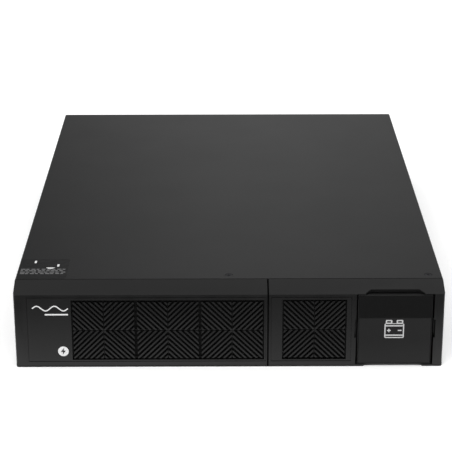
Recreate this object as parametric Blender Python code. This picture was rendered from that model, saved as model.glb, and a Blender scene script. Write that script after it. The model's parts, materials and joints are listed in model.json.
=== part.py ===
"""Battery module of a rack or tower uninterruptible power supply, two rack units high, as an assembly.

A folded steel case holds two battery drawers side by side. Each drawer carries its own plastic front
bezel, which pulls off, and plugs into a socket at the back of its bay. Behind the drawers are the fuses,
the breaker and the DC connectors.

Metres, +Z up, the front faces -Y. The origin is the middle of the base, on the surface that the module
stands on.
"""

import math

import bmesh
import bpy
from mathutils import Matrix, Vector

# ---- driving dimensions --------------------------------------------------------------------------
WIDTH = 0.438
HEIGHT = 0.088
DEPTH = 0.600  # bezel face to rear panel
REAR_PROUD = 0.010  # how far the DC connectors stand out of the rear panel
SHEET = 0.0012  # steel of the case
TRAY_SHEET = 0.001  # steel of the drawers
GAP = 0.0003  # between pieces that touch

HALF = WIDTH / 2
FRONT = -(DEPTH + REAR_PROUD) / 2  # plane of the bezel face
REAR = FRONT + DEPTH  # outer plane of the rear panel

# front bezels
SLOPE_RUN = 0.0213  # depth of the sloped top edge
SLOPE_DROP = 0.008  # how far it falls towards the face
SLOPE = SLOPE_DROP / SLOPE_RUN
BEZEL_WALL = 0.0025
BEZEL_REAR = FRONT + SLOPE_RUN
CASE_FRONT = BEZEL_REAR + 0.0012  # leaves a fine joint line behind the bezels
SPLIT_X = 0.0397  # where the two bezels meet
SPLIT_GAP = 0.0017
EDGE_ROUND = 0.001
FOOT_ROUND = 0.0004
CORNER_ROUND = 0.002  # upright corners at the two ends of the front
RELIEF_LINE = 0.0008  # width of the fine line that frames each bezel's face
RELIEF_DEPTH = 0.0007
RELIEF_LOW = 0.0056
RELIEF_HIGH = 0.0765

# grilles: square cells of chevron slats that point at the cell's centre
CELL = 0.0655
GRILLE_Z = 0.0405  # centre height of the cells
GRILLE_LEFT = -0.1607
GRILLE_RIGHT = 0.05425
GRILLE_HEIGHT = 0.0664
SLAT_PITCH = 0.0057  # along the cell's centre lines
SLAT_WIDTH = 0.0018  # across the slat
SLAT_TOP = 0.0008  # set back from the bezel face
SLAT_END = 0.0032
CELL_MARGIN = 0.0012  # from the ends of the slots to the cell's edge

# square cover with its glossy plate
COVER_X = 0.16915
COVER_Z = 0.0403
RECESS_WIDTH = 0.0793
RECESS_Z = (0.0014, 0.0795)
COVER_SIZE = (0.0759, 0.0770)
COVER_DEPTH = 0.010
COVER_WALL = 0.0025
PLATE_SIZE = (0.0735, 0.0746)
WELL_FLOOR = 0.012  # depth of the recess
WELL_WALL = 0.0030
NOTCH_X = 0.1687
NOTCH_FRONT = 0.0605  # finger notch, width at the face
NOTCH_BACK = 0.0495
NOTCH_DEPTH = 0.0063
LOWER_NOTCH_DEPTH = 0.0018
LOWER_NOTCH_HEIGHT = 0.0020
SIDE_NOTCH = (0.0015, 0.020)  # depth and height
SIDE_NOTCH_Z = 0.0413

# drawers: x span, length behind the front plate, and where the battery rows start
LEFT_TRAY_X = (-0.204, 0.028)
RIGHT_TRAY_X = (0.0515, 0.2065)
LEFT_TRAY_END = 0.201
RIGHT_TRAY_END = 0.087
TRAY_LOW = 0.0033
TRAY_WALL = 0.060
PLATE_FRONT = FRONT + 0.0228
LEFT_PLATE_X = (-0.2155, 0.0360)
RIGHT_PLATE_X = (0.0432, 0.2155)
PLATE_Z = (0.0022, 0.0825)
FRAME_FRONT = FRONT + 0.0245
LEFT_OPENING = (-0.206, 0.030)
RIGHT_OPENING = (0.0495, 0.2085)
OPENING_Z = (0.0030, 0.0800)
PEG = 0.004  # square bezel pegs
PEG_END = FRONT + 0.0242
PEG_Z = (0.0075, 0.0755)

# sealed lead-acid block, 12 V 9 Ah
BLOCK_LENGTH = 0.151
BLOCK_WIDTH = 0.065
BLOCK_HEIGHT = 0.094
BLOCK_LID = 0.014
TERMINAL = 0.0055
LEFT_ROWS = [-0.1925, -0.0400, 0.1125]  # centres, along Y
LEFT_COLUMNS = [(-0.202, 1), (0.026, -1)]  # back of the block, and the way its terminals face
RIGHT_ROWS = [-0.127, -0.026, 0.075]  # backs of the blocks, whose terminals face the front
RIGHT_BLOCK_X = 0.129

# drawer connectors, measured from the drawer's rear wall
PLUG_NOSE = 0.015
SOCKET_START = 0.007
BULKHEAD = 0.024
SOCKET_END = 0.039
CONNECTOR_Z = 0.036
PIN_OFFSET = 0.011

# service connector behind the square cover
SERVICE_X = 0.1684
SERVICE_Z = 0.0415

# rear panel fittings
BREAKER_X = 0.070
BREAKER_Z = 0.044
LEVER_TILT = math.radians(25)
LEVER_PIVOT_Y = REAR - 0.008
CONNECTOR_XS = (0.126, 0.178)
REAR_CONNECTOR_Z = 0.044
JACKS_X = 0.018
GROUND = (0.200, 0.014)
VENT_COLUMNS = 22
VENT_PITCH = 0.0075
VENT_SIZE = (0.0035, 0.0290)
VENT_ROWS_Z = (0.026, 0.062)
VENT_START_X = -0.198

SCREW_XS = (-0.205, 0.0, 0.205)
SCREW_Y = FRONT + 0.032


# ---- tools ---------------------------------------------------------------------------------------
def clear_scene():
    for thing in list(bpy.data.objects):
        bpy.data.objects.remove(thing)


def finish(name, colour, roughness, metallic=0.0):
    material = bpy.data.materials.new(name)
    material.use_nodes = True
    shader = material.node_tree.nodes["Principled BSDF"]
    shader.inputs["Base Color"].default_value = (*colour, 1.0)
    shader.inputs["Roughness"].default_value = roughness
    shader.inputs["Metallic"].default_value = metallic
    return material


def add(name, bm, centre):
    """An object from bm, whose points are about the world's origin, with its own origin at centre."""
    bmesh.ops.translate(bm, verts=bm.verts, vec=-Vector(centre))
    bmesh.ops.recalc_face_normals(bm, faces=bm.faces)
    mesh = bpy.data.meshes.new(name)
    bm.to_mesh(mesh)
    bm.free()
    thing = bpy.data.objects.new(name, mesh)
    bpy.context.scene.collection.objects.link(thing)
    thing.location = centre
    return thing


def box(name, x, y, z, bevel=0.0):
    bm = bmesh.new()
    bmesh.ops.create_cube(bm, size=1.0)
    centre = Vector((sum(x) / 2, sum(y) / 2, sum(z) / 2))
    size = Vector((x[1] - x[0], y[1] - y[0], z[1] - z[0]))
    bmesh.ops.scale(bm, vec=size, verts=bm.verts)
    bmesh.ops.translate(bm, vec=centre, verts=bm.verts)
    if bevel:
        bmesh.ops.bevel(bm, geom=bm.edges, offset=bevel, segments=1, affect="EDGES")
    return add(name, bm, centre)


def prism_mesh(outlines, axis, span):
    """Flat outlines, each extruded along axis over span. The two other axes keep their X, Y, Z order."""
    order = {"X": (2, 0, 1), "Y": (0, 2, 1), "Z": (0, 1, 2)}[axis]
    bm = bmesh.new()
    for outline in outlines:
        ends = []
        for level in span:
            corners = [(*point, level) for point in outline]
            ends.append([bm.verts.new([corner[k] for k in order]) for corner in corners])
        bm.faces.new(ends[0])
        bm.faces.new(ends[1])
        count = len(outline)
        for k in range(count):
            after = (k + 1) % count
            bm.faces.new([ends[0][k], ends[0][after], ends[1][after], ends[1][k]])
    return bm


def prism(name, outline, axis, span):
    bm = prism_mesh([outline], axis, span)
    lows = [min(v.co[k] for v in bm.verts) for k in range(3)]
    highs = [max(v.co[k] for v in bm.verts) for k in range(3)]
    return add(name, bm, [(a + b) / 2 for a, b in zip(lows, highs)])


def rod(name, start, end, radius, sides=16, end_radius=None):
    start, end = Vector(start), Vector(end)
    bm = bmesh.new()
    turn = (end - start).to_track_quat("Z", "Y").to_matrix().to_4x4()
    bmesh.ops.create_cone(
        bm,
        cap_ends=True,
        segments=sides,
        radius1=radius,
        radius2=radius if end_radius is None else end_radius,
        depth=(end - start).length,
        matrix=Matrix.Translation((start + end) / 2) @ turn,
    )
    return add(name, bm, (start + end) / 2)


def combine(body, others, operation):
    for other in others:
        modifier = body.modifiers.new(operation.lower(), "BOOLEAN")
        modifier.operation = operation
        modifier.solver = "EXACT"
        modifier.object = other
        other.hide_render = True
        other.display_type = "WIRE"
    return body


def join(body, *others):
    return combine(body, others, "UNION")


def cut(body, *others):
    return combine(body, others, "DIFFERENCE")


def tube(name, points, radius):
    """A cable along a smooth curve through the points, with a point about every two and a half diameters."""
    knots = [Vector(p) for p in points]
    knots = [2 * knots[0] - knots[1], *knots, 2 * knots[-1] - knots[-2]]
    path = []
    for before, start, end, after in zip(knots, knots[1:], knots[2:], knots[3:]):
        steps = max(2, round((end - start).length / (5 * radius)))
        for k in range(steps):
            t = k / steps
            path.append(
                0.5
                * (
                    2 * start
                    + (end - before) * t
                    + (2 * before - 5 * start + 4 * end - after) * t**2
                    + (3 * start - before - 3 * end + after) * t**3
                )
            )
    path.append(knots[-2])
    curve = bpy.data.curves.new(name, "CURVE")
    curve.dimensions = "3D"
    curve.bevel_depth = radius
    curve.bevel_resolution = 2
    curve.use_fill_caps = True
    spline = curve.splines.new("POLY")
    spline.points.add(len(path) - 1)
    for point, place in zip(spline.points, path):
        point.co = (*place, 1.0)
    thing = bpy.data.objects.new(name, curve)
    bpy.context.scene.collection.objects.link(thing)
    return thing


def carrier(name, place):
    """An empty on a joint's axis, which the pieces that move together ride on."""
    empty = bpy.data.objects.new(name, None)
    bpy.context.scene.collection.objects.link(empty)
    empty.location = place
    return empty


def mount(empty, *things):
    for thing in things:
        thing.parent = empty
        thing.matrix_parent_inverse = Matrix.Translation(-empty.location)


def paint(material, *things):
    for thing in things:
        thing.data.materials.append(material)


def arc(centre, radius, start, end, steps):
    """Points on an arc, with the angles in degrees."""
    turns = [math.radians(start + (end - start) * k / steps) for k in range(steps + 1)]
    return [(centre[0] + radius * math.cos(a), centre[1] + radius * math.sin(a)) for a in turns]


def widen(span, by):
    return (span[0] - by, span[1] + by)


def around(centre, size):
    return (centre - size / 2, centre + size / 2)


# ---- case ----------------------------------------------------------------------------------------
COVER_FLANGE_LOW = HEIGHT - 0.014
JOGGLE = 0.0015


def base_tray():
    """Floor and side walls from one folded sheet. The walls step in at the top, under the cover's flanges."""
    step = COVER_FLANGE_LOW - GAP
    top = HEIGHT - SHEET - GAP
    wall = [(HALF, 0), (HALF, step), (HALF - JOGGLE, step), (HALF - JOGGLE, top)]
    wall += [(HALF - JOGGLE - SHEET, top), (HALF - JOGGLE - SHEET, step - SHEET)]
    wall += [(HALF - SHEET, step - SHEET), (HALF - SHEET, SHEET)]
    outline = wall + [(-x, z) for x, z in reversed(wall)]
    body = prism("base_tray", outline, "Y", (CASE_FRONT, REAR))
    ear_holes = [(y, z) for y in (CASE_FRONT + 0.014, CASE_FRONT + 0.046) for z in (0.020, 0.056)]
    rail_holes = [(y, 0.038) for y in (-0.120, 0.040, 0.200)]
    for y, z in ear_holes + rail_holes:
        cut(body, rod("screw_hole", (-HALF - 0.01, y, z), (HALF + 0.01, y, z), 0.0022, 10))
    return body


def top_cover():
    """Flat top with a short flange down each side and at the front. The front screws sit in dimples."""
    top = prism(
        "top_cover",
        [(HALF, COVER_FLANGE_LOW), (HALF, HEIGHT - 0.0006), (HALF - 0.0006, HEIGHT)]
        + [(-HALF + 0.0006, HEIGHT), (-HALF, HEIGHT - 0.0006), (-HALF, COVER_FLANGE_LOW)]
        + [(-HALF + SHEET, COVER_FLANGE_LOW), (-HALF + SHEET, HEIGHT - SHEET)]
        + [(HALF - SHEET, HEIGHT - SHEET), (HALF - SHEET, COVER_FLANGE_LOW)],
        "Y",
        (CASE_FRONT, REAR),
    )
    for x in SCREW_XS:
        low, high = (x, SCREW_Y, HEIGHT - 0.003), (x, SCREW_Y, HEIGHT + 0.0003)
        cut(top, rod("dimple", low, high, 0.0024, 16, 0.0046))
    return top


def cover_screw(name, x):
    """Countersunk screw that holds the cover to the front frame's top flange, with its cross recess."""
    head_top = HEIGHT - 0.0003
    head_base = head_top - 0.0022
    screw = rod(name, (x, SCREW_Y, head_base), (x, SCREW_Y, head_top), 0.0018, 16, 0.0037)
    shank_low = (x, SCREW_Y, HEIGHT - 0.010)
    join(screw, rod("shank", shank_low, (x, SCREW_Y, head_base + 0.0003), 0.0016, 10))
    for size in ((0.0036, 0.0008), (0.0008, 0.0036)):
        recess_z = (head_top - 0.0012, head_top + 0.001)
        cut(screw, box("recess", around(x, size[0]), around(SCREW_Y, size[1]), recess_z))
    return screw


def front_frame():
    """Steel frame behind the bezels: an opening for each drawer and a top flange for the cover's screws."""
    low, high = SHEET + GAP, HEIGHT - SHEET - GAP
    inner = HALF - JOGGLE - SHEET - GAP
    frame = box("front_frame", (-inner, inner), (FRAME_FRONT, FRAME_FRONT + SHEET), (low, high))
    flange = box("flange", (-inner, inner), (FRAME_FRONT, FRAME_FRONT + 0.016), (high - SHEET, high))
    join(frame, flange)
    through = (FRAME_FRONT - 0.001, FRAME_FRONT + 0.003)
    cut(frame, box("left_opening", LEFT_OPENING, through, OPENING_Z))
    cut(frame, box("right_opening", RIGHT_OPENING, through, OPENING_Z))
    for x in SCREW_XS:
        cut(frame, rod("screw_hole", (x, SCREW_Y, 0.070), (x, SCREW_Y, 0.095), 0.0031, 12))
    for x, z in [place for side in THUMBSCREWS.values() for place in side]:
        hole = rod("thumb_hole", (x, FRAME_FRONT - 0.001, z), (x, FRAME_FRONT + 0.003, z), 0.0021, 10)
        cut(frame, hole)
    return frame


def bay_divider():
    """Wall between the bays, with a flange at its foot and at its head."""
    low, high = SHEET + GAP, HEIGHT - SHEET - GAP
    x = SPLIT_X - TRAY_SHEET / 2
    outline = [(x, low), (x + 0.008, low), (x + 0.008, low + TRAY_SHEET), (x + TRAY_SHEET, low + TRAY_SHEET)]
    outline += [(x + TRAY_SHEET, high - TRAY_SHEET), (x + 0.008, high - TRAY_SHEET)]
    outline += [(x + 0.008, high), (x, high)]
    start = FRAME_FRONT + 0.016 + GAP
    return prism("bay_divider", outline, "Y", (start, LEFT_TRAY_END + BULKHEAD - GAP))


def slide_mat(name, x, end):
    """Low-friction sheet that a drawer slides on."""
    return box(name, x, (FRAME_FRONT + SHEET + GAP, end), (SHEET + GAP, TRAY_LOW - GAP))


def bulkhead(name, x, y, socket_x):
    """Plate at the back of a bay that holds the drawer's socket."""
    plate = box(name, x, (y, y + SHEET), (SHEET + GAP, HEIGHT - SHEET - GAP))
    hole = box("socket_hole", around(socket_x, 0.049), (y - 0.001, y + 0.003), around(CONNECTOR_Z, 0.025))
    return cut(plate, hole)


def rear_panel():
    """Panel with flanges folded forwards, vent slots at one end and the fittings' cut-outs at the other."""
    low, high = SHEET + GAP, HEIGHT - SHEET - GAP
    inner = HALF - JOGGLE - SHEET - GAP
    lip = REAR - 0.012
    outline = [(REAR, low), (REAR, high), (lip, high), (lip, high - SHEET), (REAR - SHEET, high - SHEET)]
    outline += [(REAR - SHEET, low + SHEET), (lip, low + SHEET), (lip, low)]
    panel = prism("rear_panel", outline, "X", (-inner, inner))
    wide = HALF - SHEET - GAP
    below_joggle = (low + SHEET, COVER_FLANGE_LOW - SHEET - 2 * GAP)
    join(panel, box("wide_part", (-wide, wide), (REAR - SHEET, REAR), below_joggle))
    through = (REAR - 0.003, REAR + 0.001)
    width, height = VENT_SIZE
    slots = []
    for k in range(VENT_COLUMNS):
        for z in VENT_ROWS_Z:
            left, right = around(VENT_START_X + k * VENT_PITCH, width)
            bottom, top = around(z, height)
            slots.append([(left, bottom), (right, bottom), (right, top), (left, top)])
    cut(panel, add("vents", prism_mesh(slots, "Y", through), (0, 0, 0)))
    cut(panel, box("breaker_hole", around(BREAKER_X, 0.0366), through, around(BREAKER_Z, 0.0326)))
    for x in CONNECTOR_XS:
        cut(panel, box("connector_hole", around(x, 0.0376), through, around(REAR_CONNECTOR_Z, 0.0176)))
    cut(panel, box("jack_hole", around(JACKS_X, 0.0306), through, around(REAR_CONNECTOR_Z, 0.0146)))
    x, z = GROUND
    cut(panel, rod("ground_hole", (x, through[0], z), (x, through[1], z), 0.0029, 12))
    return panel


# ---- bezels --------------------------------------------------------------------------------------
def slope_height(depth):
    """Height of the bezel's outer surface over a point this far behind the face."""
    return HEIGHT - SLOPE_DROP + SLOPE * depth


def bezel_shell(name, x, outer_side):
    """Hollow front, open at the back: upright face and sloped top edge, rounded between and at the end."""
    turn = 90 - math.degrees(math.atan(SLOPE))
    reach = EDGE_ROUND * math.tan(math.radians(turn / 2))
    corner = (FRONT + EDGE_ROUND, slope_height(0) - reach)
    foot = (FRONT + FOOT_ROUND, FOOT_ROUND)
    outline = arc(foot, FOOT_ROUND, 270, 180, 3) + arc(corner, EDGE_ROUND, 180, 180 - turn, 3)
    outline += [(BEZEL_REAR, HEIGHT), (BEZEL_REAR, 0)]
    bm = prism_mesh([outline], "X", x)
    shell = add(name, bm, ((x[0] + x[1]) / 2, (FRONT + BEZEL_REAR) / 2, HEIGHT / 2))
    cut(shell, prism("corner", corner_waste(outer_side), "Z", (-0.001, HEIGHT + 0.001)))
    drop = BEZEL_WALL * math.hypot(1, SLOPE)
    beyond = SLOPE_RUN + 0.001
    hollow = [
        (FRONT + BEZEL_WALL, BEZEL_WALL),
        (FRONT + BEZEL_WALL, slope_height(BEZEL_WALL) - drop),
        (FRONT + beyond, slope_height(beyond) - drop),
        (FRONT + beyond, BEZEL_WALL),
    ]
    return cut(shell, prism("hollow", hollow, "X", widen(x, -BEZEL_WALL)))


def corner_waste(side):
    """Outline, seen from above, of what is cut away to round the upright corner at one end of the front."""
    beyond = 0.001
    centre = (HALF - CORNER_ROUND, FRONT + CORNER_ROUND)
    outside = HALF + beyond
    outline = [(outside, FRONT + CORNER_ROUND), (outside, FRONT - beyond), (centre[0], FRONT - beyond)]
    outline += arc(centre, CORNER_ROUND, 270, 360, 5)
    return [(side * across, y) for across, y in outline]


def relief_lines(shell, x):
    """Fine groove that frames the bezel's face."""
    depth = (FRONT - 0.001, FRONT + RELIEF_DEPTH)
    for z in (RELIEF_LOW, RELIEF_HIGH):
        cut(shell, box("line", x, depth, around(z, RELIEF_LINE)))
    for at in x:
        height = widen((RELIEF_LOW, RELIEF_HIGH), RELIEF_LINE / 2)
        cut(shell, box("line", around(at, RELIEF_LINE), depth, height))


def pegs(shell, xs):
    """Pegs that snap into the drawer's front plate, each on a web from the bezel's wall."""
    for x in xs:
        for z, web in zip(PEG_Z, ((0.0015, 0.0085), (0.0745, 0.0825))):
            across = around(x, PEG)
            join(shell, box("peg", across, (FRONT + 0.006, PEG_END), around(z, PEG)))
            join(shell, box("web", across, (FRONT + 0.009, FRONT + 0.0165), web))


def grille_window(start, cells):
    return (start, start + cells * CELL)


def left_bezel():
    x = (-HALF, SPLIT_X - SPLIT_GAP / 2)
    shell = bezel_shell("left_bezel", x, -1)
    window = grille_window(GRILLE_LEFT, 3)
    through = (FRONT - 0.001, FRONT + 0.005)
    relief_lines(shell, (-0.2055, 0.0375))
    cut(shell, box("window", window, through, around(GRILLE_Z, GRILLE_HEIGHT)))
    pegs(shell, (-0.190, 0.0215))
    return shell


def right_bezel():
    x = (SPLIT_X + SPLIT_GAP / 2, HALF)
    shell = bezel_shell("right_bezel", x, 1)
    relief_lines(shell, (0.0430, 0.1245))
    through = (FRONT - 0.001, FRONT + 0.005)
    cut(shell, box("window", grille_window(GRILLE_RIGHT, 1), through, around(GRILLE_Z, GRILLE_HEIGHT)))
    # The well that the square cover sits in.
    start, end = 0.001, WELL_FLOOR + 0.0015
    inside = 0.0008
    well = [
        (FRONT + start, 0.001),
        (FRONT + start, slope_height(start) - inside),
        (FRONT + end, slope_height(end) - inside),
        (FRONT + end, 0.001),
    ]
    join(shell, prism("well", well, "X", widen(around(COVER_X, RECESS_WIDTH), WELL_WALL)))
    pegs(shell, (0.0520, 0.2130))
    cut(shell, box("recess", around(COVER_X, RECESS_WIDTH), (FRONT - 0.001, FRONT + WELL_FLOOR), RECESS_Z))
    deep = (FRONT + 0.010, FRONT + 0.015)
    cut(shell, box("service_hole", around(SERVICE_X, 0.048), deep, around(SERVICE_Z, 0.030)))
    cut(shell, prism("top_notch", finger_notch(NOTCH_DEPTH), "Z", (RECESS_Z[1] - 0.001, HEIGHT + 0.002)))
    cut(shell, prism("bottom_notch", finger_notch(LOWER_NOTCH_DEPTH), "Z", (-0.001, LOWER_NOTCH_HEIGHT)))
    side, tall = SIDE_NOTCH
    sides = widen(around(COVER_X, RECESS_WIDTH), side)
    depth = (FRONT - 0.001, FRONT + NOTCH_DEPTH)
    return cut(shell, box("side_notches", sides, depth, around(SIDE_NOTCH_Z, tall)))


def finger_notch(depth):
    """Outline, seen from above, of a notch beside the square cover, with angled ends."""
    wide, narrow = NOTCH_FRONT / 2, NOTCH_BACK / 2
    outline = [(-wide, FRONT - 0.001), (wide, FRONT - 0.001), (wide, FRONT + 0.001)]
    outline += [(narrow, FRONT + depth), (-narrow, FRONT + depth), (-wide, FRONT + 0.001)]
    return [(NOTCH_X + across, y) for across, y in outline]


def slots(centre):
    """Outlines of one cell's slots in the X-Z plane. The slats left between them are a diagonal cross
    and, in each quarter that it makes, chevrons that point at the cell's middle."""
    reach = CELL / 2 - CELL_MARGIN
    half = SLAT_WIDTH / math.sqrt(2)
    shapes = []
    for n in range(int(reach / SLAT_PITCH) + 1):
        tip = n * SLAT_PITCH + half
        tail = (n + 1) * SLAT_PITCH - half
        arrow = [(reach, tip - reach), (tip, 0), (reach, reach - tip)]
        if tail < reach:
            arrow += [(reach, reach - tail), (tail, 0), (reach, tail - reach)]
        shapes += [[turned(point, k) for point in arrow] for k in range(4)]
    return [[(centre[0] + x, centre[1] + z) for x, z in shape] for shape in shapes]


def turned(point, quarters):
    for _ in range(quarters):
        point = (-point[1], point[0])
    return point


def grille(name, start, cells):
    """Plate of slats set back in the bezel's window, with flanges behind the window's top and bottom."""
    window = grille_window(start, cells)
    depth = (FRONT + SLAT_TOP, FRONT + SLAT_END)
    body = box(name, widen(window, -GAP), depth, around(GRILLE_Z, GRILLE_HEIGHT - 2 * GAP))
    shapes = []
    for n in range(cells):
        shapes += slots((start + (n + 0.5) * CELL, GRILLE_Z))
    cut(body, add("slots", prism_mesh(shapes, "Y", widen(depth, 0.001)), (0, 0, 0)))
    flange_y = (FRONT + BEZEL_WALL + GAP, FRONT + SLAT_END + 0.001)
    for z in (GRILLE_Z - GRILLE_HEIGHT / 2, GRILLE_Z + GRILLE_HEIGHT / 2):
        join(body, box("flange", widen(window, -0.003), flange_y, around(z, 0.0034)))
    return body


def battery_cover():
    """Square cover with a pocket in its face for the glossy plate, hollow behind."""
    x, z = around(COVER_X, COVER_SIZE[0]), around(COVER_Z, COVER_SIZE[1])
    body = box("battery_cover", x, (FRONT, FRONT + COVER_DEPTH), z, 0.0005)
    plate_x, plate_z = around(COVER_X, PLATE_SIZE[0]), around(COVER_Z, PLATE_SIZE[1])
    cut(body, box("pocket", widen(plate_x, GAP), (FRONT - 0.001, FRONT + 0.0013), widen(plate_z, GAP)))
    rear = (FRONT + 0.0038, FRONT + COVER_DEPTH + 0.001)
    return cut(body, box("inside", widen(x, -COVER_WALL), rear, widen(z, -COVER_WALL)))


def cover_plate():
    x, z = around(COVER_X, PLATE_SIZE[0]), around(COVER_Z, PLATE_SIZE[1])
    return box("cover_plate", x, (FRONT, FRONT + 0.001), z)


# ---- drawers -------------------------------------------------------------------------------------
THUMBSCREWS = {
    "left": [(-0.2100, 0.064), (0.0322, 0.018)],
    "right": [(0.0470, 0.064), (0.2118, 0.018)],
}


def drawer_tray(name, x, plate_x, end, side, peg_xs):
    """Open steel tray with a taller front plate that closes the bay, and a cut-out behind for its plug."""
    start = PLATE_FRONT + 0.0006
    tray = box(name, x, (start, end), (TRAY_LOW, TRAY_WALL))
    inside = (PLATE_FRONT + SHEET, end - TRAY_SHEET)
    cut(tray, box("inside", widen(x, -TRAY_SHEET), inside, (TRAY_LOW + TRAY_SHEET, 0.1)))
    join(tray, box("plate", plate_x, (PLATE_FRONT, PLATE_FRONT + SHEET), PLATE_Z))
    plug_x = sum(x) / 2
    cut(tray, box("plug_hole", around(plug_x, 0.041), (end - 0.003, end + 0.001), around(CONNECTOR_Z, 0.017)))
    through = (PLATE_FRONT - 0.001, PLATE_FRONT + 0.002)
    for peg_x in peg_xs:
        for z in PEG_Z:
            cut(tray, box("peg_hole", around(peg_x, PEG + 0.001), through, around(z, PEG + 0.001)))
    for screw_x, z in THUMBSCREWS[side]:
        cut(tray, rod("thumb_hole", (screw_x, through[0], z), (screw_x, through[1], z), 0.0021, 10))
    return tray


def thumbscrew(name, x, z):
    """Captive screw with a knurled head that holds a drawer's front plate to the front frame."""
    front = PLATE_FRONT - GAP
    screw = rod(name, (x, front - 0.006, z), (x, front, z), 0.0036, 20)
    return join(screw, rod("shank", (x, front - 0.001, z), (x, front + 0.010, z), 0.0016, 10))


def pull_strap(name, x, z):
    """Short webbing handle riveted at both ends, bowed a little off the plate."""
    half, foot, bow, thick = 0.040, 0.010, 0.0025, 0.0015
    base = PLATE_FRONT - GAP
    steps = 12
    inner = []
    for k in range(steps + 1):
        t = k / steps
        across = -(half - foot) + 2 * (half - foot) * t
        inner.append((x + across, base - bow * math.sin(math.pi * t) ** 2))
    outer = [(px, py - thick) for px, py in reversed(inner)]
    under = base - thick
    outline = [(x - half, base), *inner, (x + half, base), (x + half, under), *outer, (x - half, under)]
    return prism(name, outline, "Z", around(z, 0.018))


def hold_down(name, x, y):
    """Steel strap over the batteries, with a leg down each side of the tray."""
    low, top = TRAY_WALL - 0.010, TRAY_LOW + TRAY_SHEET + BLOCK_WIDTH + 0.0012
    out = widen(x, GAP + TRAY_SHEET)
    outline = [(out[0], low), (out[0], top + TRAY_SHEET), (out[1], top + TRAY_SHEET), (out[1], low)]
    outline += [(out[1] - TRAY_SHEET, low), (out[1] - TRAY_SHEET, top), (out[0] + TRAY_SHEET, top)]
    outline += [(out[0] + TRAY_SHEET, low)]
    return prism(name, outline, "Y", around(y, 0.022))


def battery(name, back, up, length_way):
    """A block on its side. back is the middle of its base, up is the way its lid faces, both horizontal."""
    turn = Matrix((length_way, Vector(up).cross(Vector(length_way)), up)).transposed()
    bm = bmesh.new()
    bmesh.ops.create_cube(bm, size=1.0)
    bmesh.ops.scale(bm, vec=(BLOCK_LENGTH, BLOCK_WIDTH, BLOCK_HEIGHT), verts=bm.verts)
    bmesh.ops.bevel(bm, geom=bm.edges, offset=0.0012, segments=1, affect="EDGES")
    body = add(name, bm, (0, 0, 0))
    joint_z = BLOCK_HEIGHT / 2 - BLOCK_LID
    groove = prism_mesh([ring_side(k) for k in range(4)], "Z", (joint_z - 0.0008, joint_z))
    cutter = add("lid_joint", groove, (0, 0, 0))
    blocks = [body, cutter]
    cut(body, cutter)
    for end in (-1, 1):
        x = around(end * (BLOCK_LENGTH / 2 - 0.013), 0.0115)
        boss = box("boss", x, around(-0.018, 0.013), (BLOCK_HEIGHT / 2 - 0.001, BLOCK_HEIGHT / 2 + 0.0015))
        tab_x = around(end * (BLOCK_LENGTH / 2 - 0.013), 0.0008)
        tab = box("tab", tab_x, around(-0.018, 0.0063), (BLOCK_HEIGHT / 2, BLOCK_HEIGHT / 2 + TERMINAL))
        join(body, boss, tab)
        blocks += [boss, tab]
    centre = Vector(back) + Vector(up) * BLOCK_HEIGHT / 2
    place = Matrix.Translation(centre) @ turn.to_4x4()
    for thing in blocks:
        local = thing.location.copy()
        thing.location = place @ local
        thing.rotation_euler = turn.to_euler()
    return body


def ring_side(side):
    """One bar of the frame-shaped cutter that makes the groove under a battery's lid."""
    depth, beyond = 0.0005, 0.002
    long, wide = BLOCK_LENGTH / 2, BLOCK_WIDTH / 2
    if side < 2:
        sign = 1 if side else -1
        ends = sorted((sign * (wide - depth), sign * (wide + beyond)))
        reach = long + beyond
        return [(-reach, ends[0]), (reach, ends[0]), (reach, ends[1]), (-reach, ends[1])]
    sign = 1 if side == 3 else -1
    ends = sorted((sign * (long - depth), sign * (long + beyond)))
    inner = wide - depth - 0.00001
    return [(ends[0], -inner), (ends[1], -inner), (ends[1], inner), (ends[0], inner)]


def drawer_plug(name, x, wall):
    """Drawer's half of the connector: flange on the tray's rear wall and a nose with two contact holes."""
    body = box(name, around(x, 0.040), (wall - 0.008, wall + PLUG_NOSE), around(CONNECTOR_Z, 0.016))
    flange_y = (wall + GAP, wall + 0.003)
    join(body, box("flange", around(x, 0.052), flange_y, around(CONNECTOR_Z, 0.024)))
    for side in (-PIN_OFFSET, PIN_OFFSET):
        start = (x + side, wall + 0.004, CONNECTOR_Z)
        cut(body, rod("contact_hole", start, (x + side, wall + 0.020, CONNECTOR_Z), 0.0036, 12))
    return body


def drawer_socket(name, x, wall):
    """Chassis half of the connector: a shroud that the plug's nose enters, with two pins."""
    y = (wall + SOCKET_START, wall + SOCKET_END)
    body = box(name, around(x, 0.048), y, around(CONNECTOR_Z, 0.024))
    flange_y = (wall + BULKHEAD + SHEET + GAP, wall + BULKHEAD + SHEET + 0.0025)
    join(body, box("flange", around(x, 0.058), flange_y, around(CONNECTOR_Z, 0.030)))
    floor = wall + 0.019
    cut(body, box("mouth", around(x, 0.042), (wall, floor), around(CONNECTOR_Z, 0.018)))
    for side in (-PIN_OFFSET, PIN_OFFSET):
        start = (x + side, wall + SOCKET_START + 0.001, CONNECTOR_Z)
        join(body, rod("pin", start, (x + side, floor + 0.002, CONNECTOR_Z), 0.0026, 12))
    return body


def service_socket():
    """Front connector that isolates the battery, reached behind the square cover."""
    x, z = around(SERVICE_X, 0.041), around(SERVICE_Z, 0.023)
    body = box("service_socket", x, (PLATE_FRONT - 0.002, PLATE_FRONT + 0.036), z)
    flange_y = (PLATE_FRONT + SHEET + GAP, PLATE_FRONT + SHEET + 0.0025)
    join(body, box("flange", around(SERVICE_X, 0.050), flange_y, around(SERVICE_Z, 0.031)))
    mouth_y = (PLATE_FRONT - 0.004, PLATE_FRONT + 0.020)
    return cut(body, box("mouth", around(SERVICE_X, 0.035), mouth_y, around(SERVICE_Z, 0.017)))


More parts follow.
